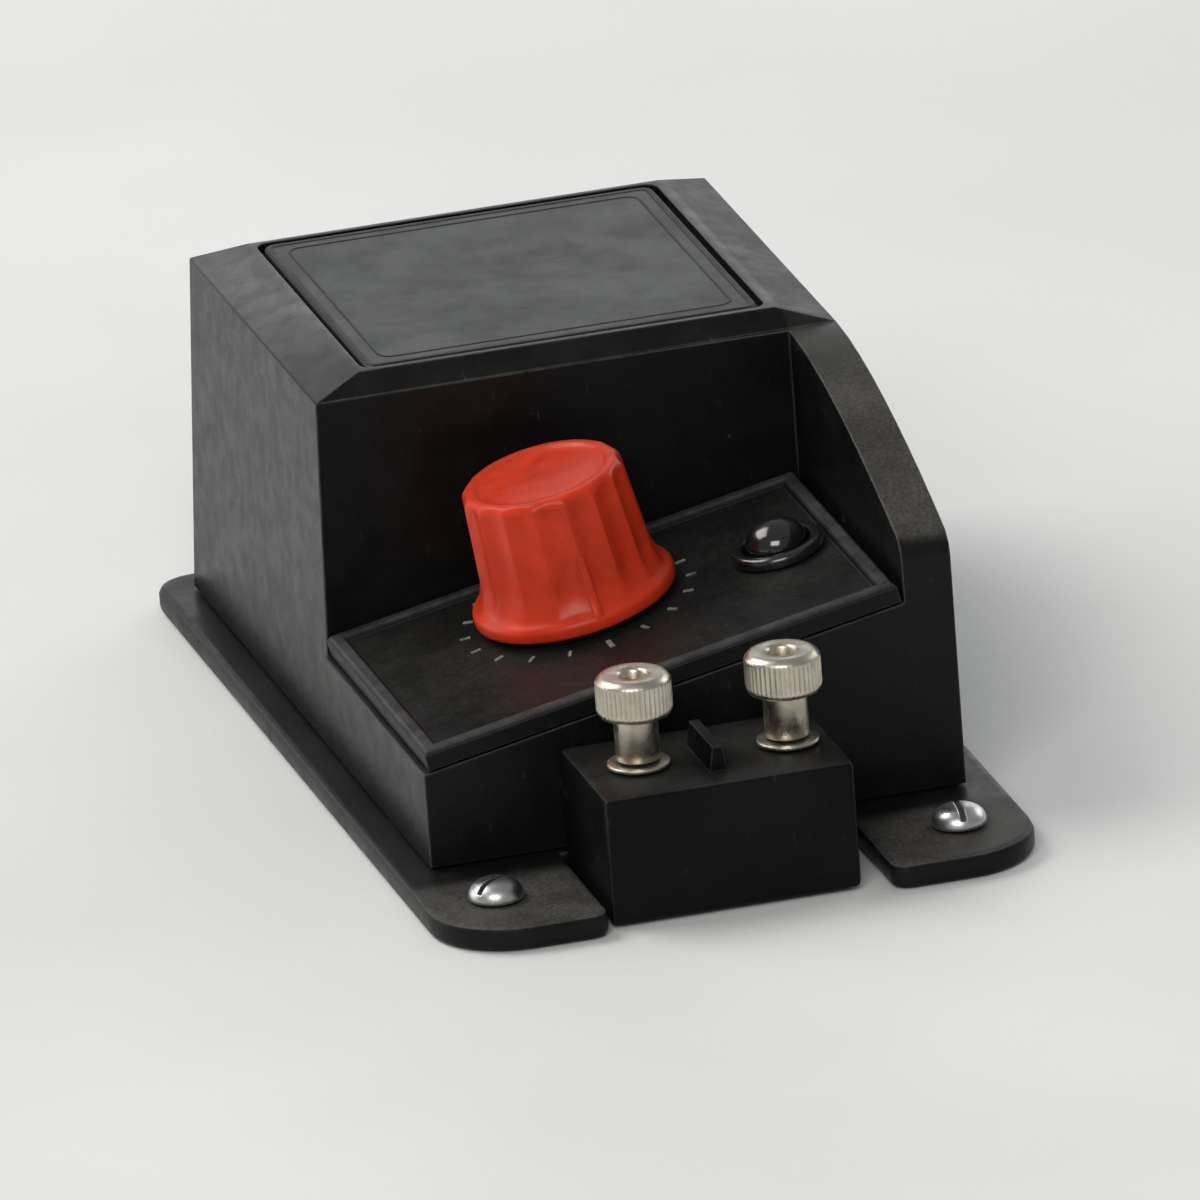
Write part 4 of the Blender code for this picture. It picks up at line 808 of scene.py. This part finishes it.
def build_stud(side, place):
    """Hexagon head below, then a rod with an M3 thread up to a domed end."""
    count = STUD_COUNT
    start, end = THREAD_LOW, THREAD_TOP
    rings = []
    for z, grow in ((3.8, 0.9), (3.95, 1.0), (5.65, 1.0), (5.8, 0.95)):
        points = []
        for i in range(count):
            a = TURN * i / count
            reach = grow * HEX_FLAT / math.cos((a % (TURN / 6)) - TURN / 12)
            points.append((reach * math.cos(a), reach * math.sin(a), z))
        rings.append(points)
    rings.append(ring(1.46, 5.8, count))
    rings.append(ring(1.46, start - 0.2, count))
    steps = int((end - start) / THREAD_PITCH * 6)
    for i in range(steps + 1):
        z = start + (end - start) * i / steps
        fade = min(1.0, (z - start) / 0.5, (end - z) / 0.4 + 0.15)

        def groove(angle, z=z, fade=fade):
            t = (z / THREAD_PITCH - angle / TURN) % 1.0
            return fade * THREAD_DEPTH * abs(2.0 * t - 1.0)
        rings.append(ring(THREAD_R, z, count, groove))
    rings += [ring(r, z, count) for r, z in ((1.36, 26.45), (1.15, 26.66), (0.7, 26.78),
                                             (0.15, 26.8))]
    stud = rings_mesh(f"terminal_stud_{side}_threaded", rings, place)
    smooth(stud, 55.0)
    dress(stud, "brass", "case", f"terminal_stud_{side}")


def build_terminals():
    """A stud, a washer and a thumb nut on each side of the block."""
    for side in ("left", "right"):
        spot = middle(f"terminal_nut_{side}")
        place = Matrix.Translation((spot.x, spot.y, 0.0))
        build_nut(side, place)
        build_washer(side, place)
        build_stud(side, place)


# ---------------------------------------------------------------- screws

# Head radius, head height, shank radius, shank length, and whether the head is up.
FIXING = (3.3, 2.3, 1.75, 3.0, True)
CASE = (2.8, 1.7, 1.05, 10.0, False)
SCREWS = {
    "fixing_screw_left": FIXING,
    "fixing_screw_right": FIXING,
    "case_screw_front_left": CASE,
    "case_screw_front_right": CASE,
    "case_screw_rear_left": CASE,
    "case_screw_rear_right": CASE,
}
SCREW_PITCH = 0.9
SCREW_COUNT = 64
RIM_H = 0.16           # straight part of the head's edge
SLOT_HALF = 0.36
FIRST_TURN, NEXT_TURN = 0.6, 0.9   # the slots stand at different angles, in radians


def build_screw(node, head_r, head_h, shank_r, length, up, turn):
    """Domed slotted head on a threaded shank, set where the CAD screw is."""
    low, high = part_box(node)
    spot = (low + high) / 2.0
    seat = high.z - head_h * MM if up else low.z + head_h * MM
    place = Matrix.Translation((spot.x, spot.y, seat))
    if not up:
        place = place @ Matrix.Rotation(math.pi, 4, "X")
    count = SCREW_COUNT
    rings = [ring(0.12, -length, count), ring(shank_r * 0.72, -length, count)]
    steps = max(6, int(length / SCREW_PITCH * 8))
    for i in range(1, steps):
        z = -length + (length - 0.25) * i / steps

        def groove(angle, z=z):
            t = (z / SCREW_PITCH - angle / TURN) % 1.0
            return shank_r * 0.24 * abs(2.0 * t - 1.0) ** 1.5
        rings.append(ring(shank_r, z, count, groove))
    rings += [ring(shank_r, -0.02, count), ring(head_r - 0.12, 0.0, count),
              ring(head_r - 0.03, 0.05, count), ring(head_r, RIM_H, count)]
    rise = head_h - RIM_H
    for i in range(1, 13):
        a = math.radians(90.0 * i / 13)
        rings.append(ring(head_r * math.cos(a) ** 0.72, RIM_H + rise * math.sin(a), count))
    rings.append(ring(0.12, head_h, count))
    screw = rings_mesh(f"{node}_slotted", rings, place)
    way = place @ Matrix.Rotation(turn, 4, "Z")
    past = head_r + 1.0
    slot = block("slot", (-past, -SLOT_HALF, head_h * 0.5),
                 (past, SLOT_HALF, head_h + 1.0), way)
    carve(screw, slot)
    smooth(screw, 40.0)
    dress(screw, "zinc", "case", node)


def build_screws():
    for i, (node, size) in enumerate(SCREWS.items()):
        build_screw(node, *size, FIRST_TURN + NEXT_TURN * i)


# --------------------------------------------------- grommet and markings

# The back wall's outer face, which leans in from its foot to the rim.
WALL_FOOT_Y, WALL_FOOT_Z = 62.5, 3.3
WALL_RIM_Y, WALL_RIM_Z = 57.0, 46.3
WALL_T = 2.4
INLET_Z = 18.5


def build_grommet():
    """Rubber grommet whose groove holds the back wall, square to that leaning wall."""
    spot = middle("cord_grommet")
    lean = math.atan((WALL_FOOT_Y - WALL_RIM_Y) / (WALL_RIM_Z - WALL_FOOT_Z))
    y = WALL_FOOT_Y - (INLET_Z - WALL_FOOT_Z) * math.tan(lean) - WALL_T / 2.0
    place = Matrix.Translation((spot.x, y * MM, INLET_Z * MM))
    place = place @ Matrix.Rotation(-math.pi / 2 + lean, 4, "X")
    rim = [(3.5, -2.4), (3.65, -2.58), (5.3, -2.6), (5.7, -2.5), (5.97, -2.2), (6.0, -1.9),
           (6.0, -1.32), (4.5, -1.32), (4.5, 1.32), (6.0, 1.32), (6.0, 2.0), (5.9, 2.3),
           (5.6, 2.62), (5.1, 2.85), (4.4, 2.9), (3.9, 2.88), (3.6, 2.7), (3.5, 2.4)]
    grommet = lathe("cord_grommet_ring", rim, place)
    smooth(grommet, 30.0)
    dress(grommet, "rubber", "case", "cord_grommet")


# The dial's ticks, 20 degrees apart; heights are from the panel's top face.
TICK_STEP = 20.0
TICK_R = 13.1
TICK_LOW = -0.75
TICK_MINOR = (14.4, 0.22)   # outer radius, half width
TICK_MAJOR = (15.3, 0.32)
TICK_TRIM = 0.07            # how far the raised top is drawn in
KEY_LOW, KEY_TOP = -0.02, 0.05   # the label's lines, from its top face


def build_scale():
    """Tick marks on the panel round the knob, longer at off and at both ends."""
    verts = []
    faces = []

    def tick(deg, r0, r1, half):
        a = math.radians(deg - 90.0)
        ux, uy = math.cos(a), math.sin(a)
        base = len(verts)
        for rise, trim in ((0.0, 0.0), (0.15, 0.0), (0.22, TICK_TRIM)):
            for r, s in ((r0 + trim, -1), (r1 - trim, -1), (r1 - trim, 1), (r0 + trim, 1)):
                w = (half - trim) * s
                verts.append((r * ux - w * uy, r * uy + w * ux, TICK_LOW + rise))
        for row in (0, 4):
            for j in range(4):
                k = (j + 1) % 4
                b = base + row
                faces.append((b + j, b + k, b + 4 + k, b + 4 + j))
        faces.append((base + 3, base + 2, base + 1, base))
        faces.append((base + 8, base + 9, base + 10, base + 11))

    for i in range(-7, 8):
        outer, half = TICK_MAJOR if i in (-7, 0, 7) else TICK_MINOR
        tick(i * TICK_STEP, TICK_R, outer, half)
    placed = [KNOB_FRAME @ (Vector(v) * MM) for v in verts]
    scale = new_mesh("speed_scale_ticks", placed, faces)
    smooth(scale, 30.0)
    dress(scale, "label_grey", "case")
    scale.data.materials[0] = MATERIALS["tick_paint"]


def build_label_border():
    """Painted groove shade along the label plate's edge, and a thin keyline inside it."""
    low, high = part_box("label_plate")
    top = high.z / MM
    verts = []
    faces = []

    def keyline(inset, radius, width):
        x0, y0 = low.x / MM + inset, low.y / MM + inset
        x1, y1 = high.x / MM - inset, high.y / MM - inset
        base = len(verts)
        outer = []
        inner = []
        corners = ((x1 - radius, y1 - radius, 0), (x0 + radius, y1 - radius, 90),
                   (x0 + radius, y0 + radius, 180), (x1 - radius, y0 + radius, 270))
        for mx, my, start in corners:
            for step in range(7):
                a = math.radians(start + 15.0 * step)
                outer.append((mx + radius * math.cos(a), my + radius * math.sin(a)))
                inner.append((mx + (radius - width) * math.cos(a),
                              my + (radius - width) * math.sin(a)))
        count = len(outer)
        for points, rise in ((outer, KEY_LOW), (outer, KEY_TOP), (inner, KEY_TOP),
                             (inner, KEY_LOW)):
            verts.extend((x, y, top + rise) for x, y in points)
        for row in range(4):
            a = base + row * count
            b = base + (row + 1) % 4 * count
            for j in range(count):
                k = (j + 1) % count
                faces.append((a + j, a + k, b + k, b + j))

    # The outer band is painted shade that widens the dark groove round the plate; the inner one is
    # a printed keyline.
    keyline(0.1, 1.4, 0.75)
    keyline(2.2, 1.8, 0.35)
    placed = [Vector(v) * MM for v in verts]
    border = new_mesh("label_plate_edge_shade_and_keyline", placed, faces)
    smooth(border, 30.0)
    dress(border, "black_block", "case")


# ------------------------------------------------------ floor and lights

# In metres.
FLOOR_HALF = 3.0
FLOOR_STEPS = 24
FLOOR_Z = -0.0002
FLOOR_DARKER = (0.70, 0.70, 0.69)
FLOOR_LIGHTER = (0.76, 0.76, 0.75)
LIGHT_AIM = Vector((0.0, 0.0, 0.02))
LIGHTS = (   # name, place, size, watts, colour
    ("key", (-0.75, 0.50, 1.05), (0.9, 0.7), 11.0, (1.0, 0.98, 0.95)),
    ("side", (-1.3, 0.9, 0.40), (1.2, 0.7), 5.0, (0.96, 0.98, 1.0)),
    ("back", (0.45, 1.6, 0.50), (1.8, 0.8), 5.5, (0.97, 0.98, 1.0)),
    ("right", (1.1, 0.55, 0.55), (0.8, 0.6), 3.0, (0.97, 0.98, 1.0)),
    ("fill", (-0.5, -1.25, 0.90), (0.8, 0.6), 12.0, (1.0, 0.97, 0.94)),
)
WORLD_COLOUR = (0.93, 0.96, 1.0, 1.0)
WORLD_STRENGTH = 0.30


def build_floor():
    """A wide plain floor with a faint unevenness in its sheen."""
    steps = FLOOR_STEPS
    verts = []
    faces = []
    for j in range(steps + 1):
        for i in range(steps + 1):
            x = FLOOR_HALF * (2.0 * i / steps - 1.0)
            y = FLOOR_HALF * (2.0 * j / steps - 1.0)
            verts.append((x, y, FLOOR_Z))
    for j in range(steps):
        for i in range(steps):
            a = j * (steps + 1) + i
            faces.append((a, a + 1, a + steps + 2, a + steps + 1))
    floor = new_mesh("studio_floor", verts, faces)
    g = Graph("studio_floor_pale")
    cloud = g.noise(120.0, 3.0, 0.5)
    colour = g.blend(g.span(cloud, 0.3, 0.7), FLOOR_DARKER, FLOOR_LIGHTER)
    normal = g.relief(g.noise(2.0, 3.0, 0.5), 0.05, g.geometry.outputs["Normal"])
    g.finish(colour, g.span(cloud, 0.3, 0.7, 0.55, 0.65), normal, Specular_IOR_Level=0.25)
    floor.data.materials.append(g.material)


def add_area(name, spot, size, power, colour):
    """A soft rectangular light that faces the controller."""
    light = bpy.data.lights.new(name, "AREA")
    light.shape = "RECTANGLE"
    light.size, light.size_y = size
    light.energy = power
    light.color = colour
    made = bpy.data.objects.new(name, light)
    made.location = spot
    made.rotation_euler = (LIGHT_AIM - Vector(spot)).to_track_quat("-Z", "Y").to_euler()
    bpy.context.scene.collection.objects.link(made)


def build_lights():
    """Soft lights round the controller, and an even sky."""
    world = bpy.data.worlds.new("studio")
    bpy.context.scene.world = world
    world.use_nodes = True
    sky = world.node_tree.nodes["Background"]
    sky.inputs["Color"].default_value = WORLD_COLOUR
    sky.inputs["Strength"].default_value = WORLD_STRENGTH
    for light in LIGHTS:
        add_area(*light)


# ---------------------------------------------------------------- camera

# In metres and degrees: the photograph's own direction, distance and tilt.
CAMERA_SIDE = Vector((-0.230, -0.917, 0.335))
CAMERA_FAR = 3.87
CAMERA_ROLL = 4.2
CAMERA_SPAN = 0.141   # width of the view at the controller
CAMERA_AIM = Vector((0.0, -0.006, 0.0185))
SENSOR = 36.0         # mm


def build_camera():
    """A long lens that sees the controller from the photograph's side."""
    away = CAMERA_SIDE.normalized()
    data = bpy.data.cameras.new("photo_view")
    data.sensor_fit = "HORIZONTAL"
    data.sensor_width = SENSOR
    data.lens = SENSOR * CAMERA_FAR / CAMERA_SPAN
    data.clip_start = 0.05
    data.clip_end = 30.0
    made = bpy.data.objects.new("photo_view", data)
    turned = (-away).to_track_quat("-Z", "Y").to_matrix()
    roll = Matrix.Rotation(math.radians(-CAMERA_ROLL), 3, "Z")
    spot = Matrix.Translation(CAMERA_AIM + away * CAMERA_FAR)
    made.matrix_world = spot @ (turned @ roll).to_4x4()
    bpy.context.scene.collection.objects.link(made)
    bpy.context.scene.camera = made


# -------------------------------------------------------------- assembly

build_camera()
for cad_node in frame["nodes"].values():
    dress_node(cad_node)
build_knob()
build_reset()
build_spring()
build_terminals()
build_screws()
build_grommet()
build_scale()
build_label_border()
build_floor()
build_lights()
bpy.context.scene.view_settings.view_transform = "Standard"
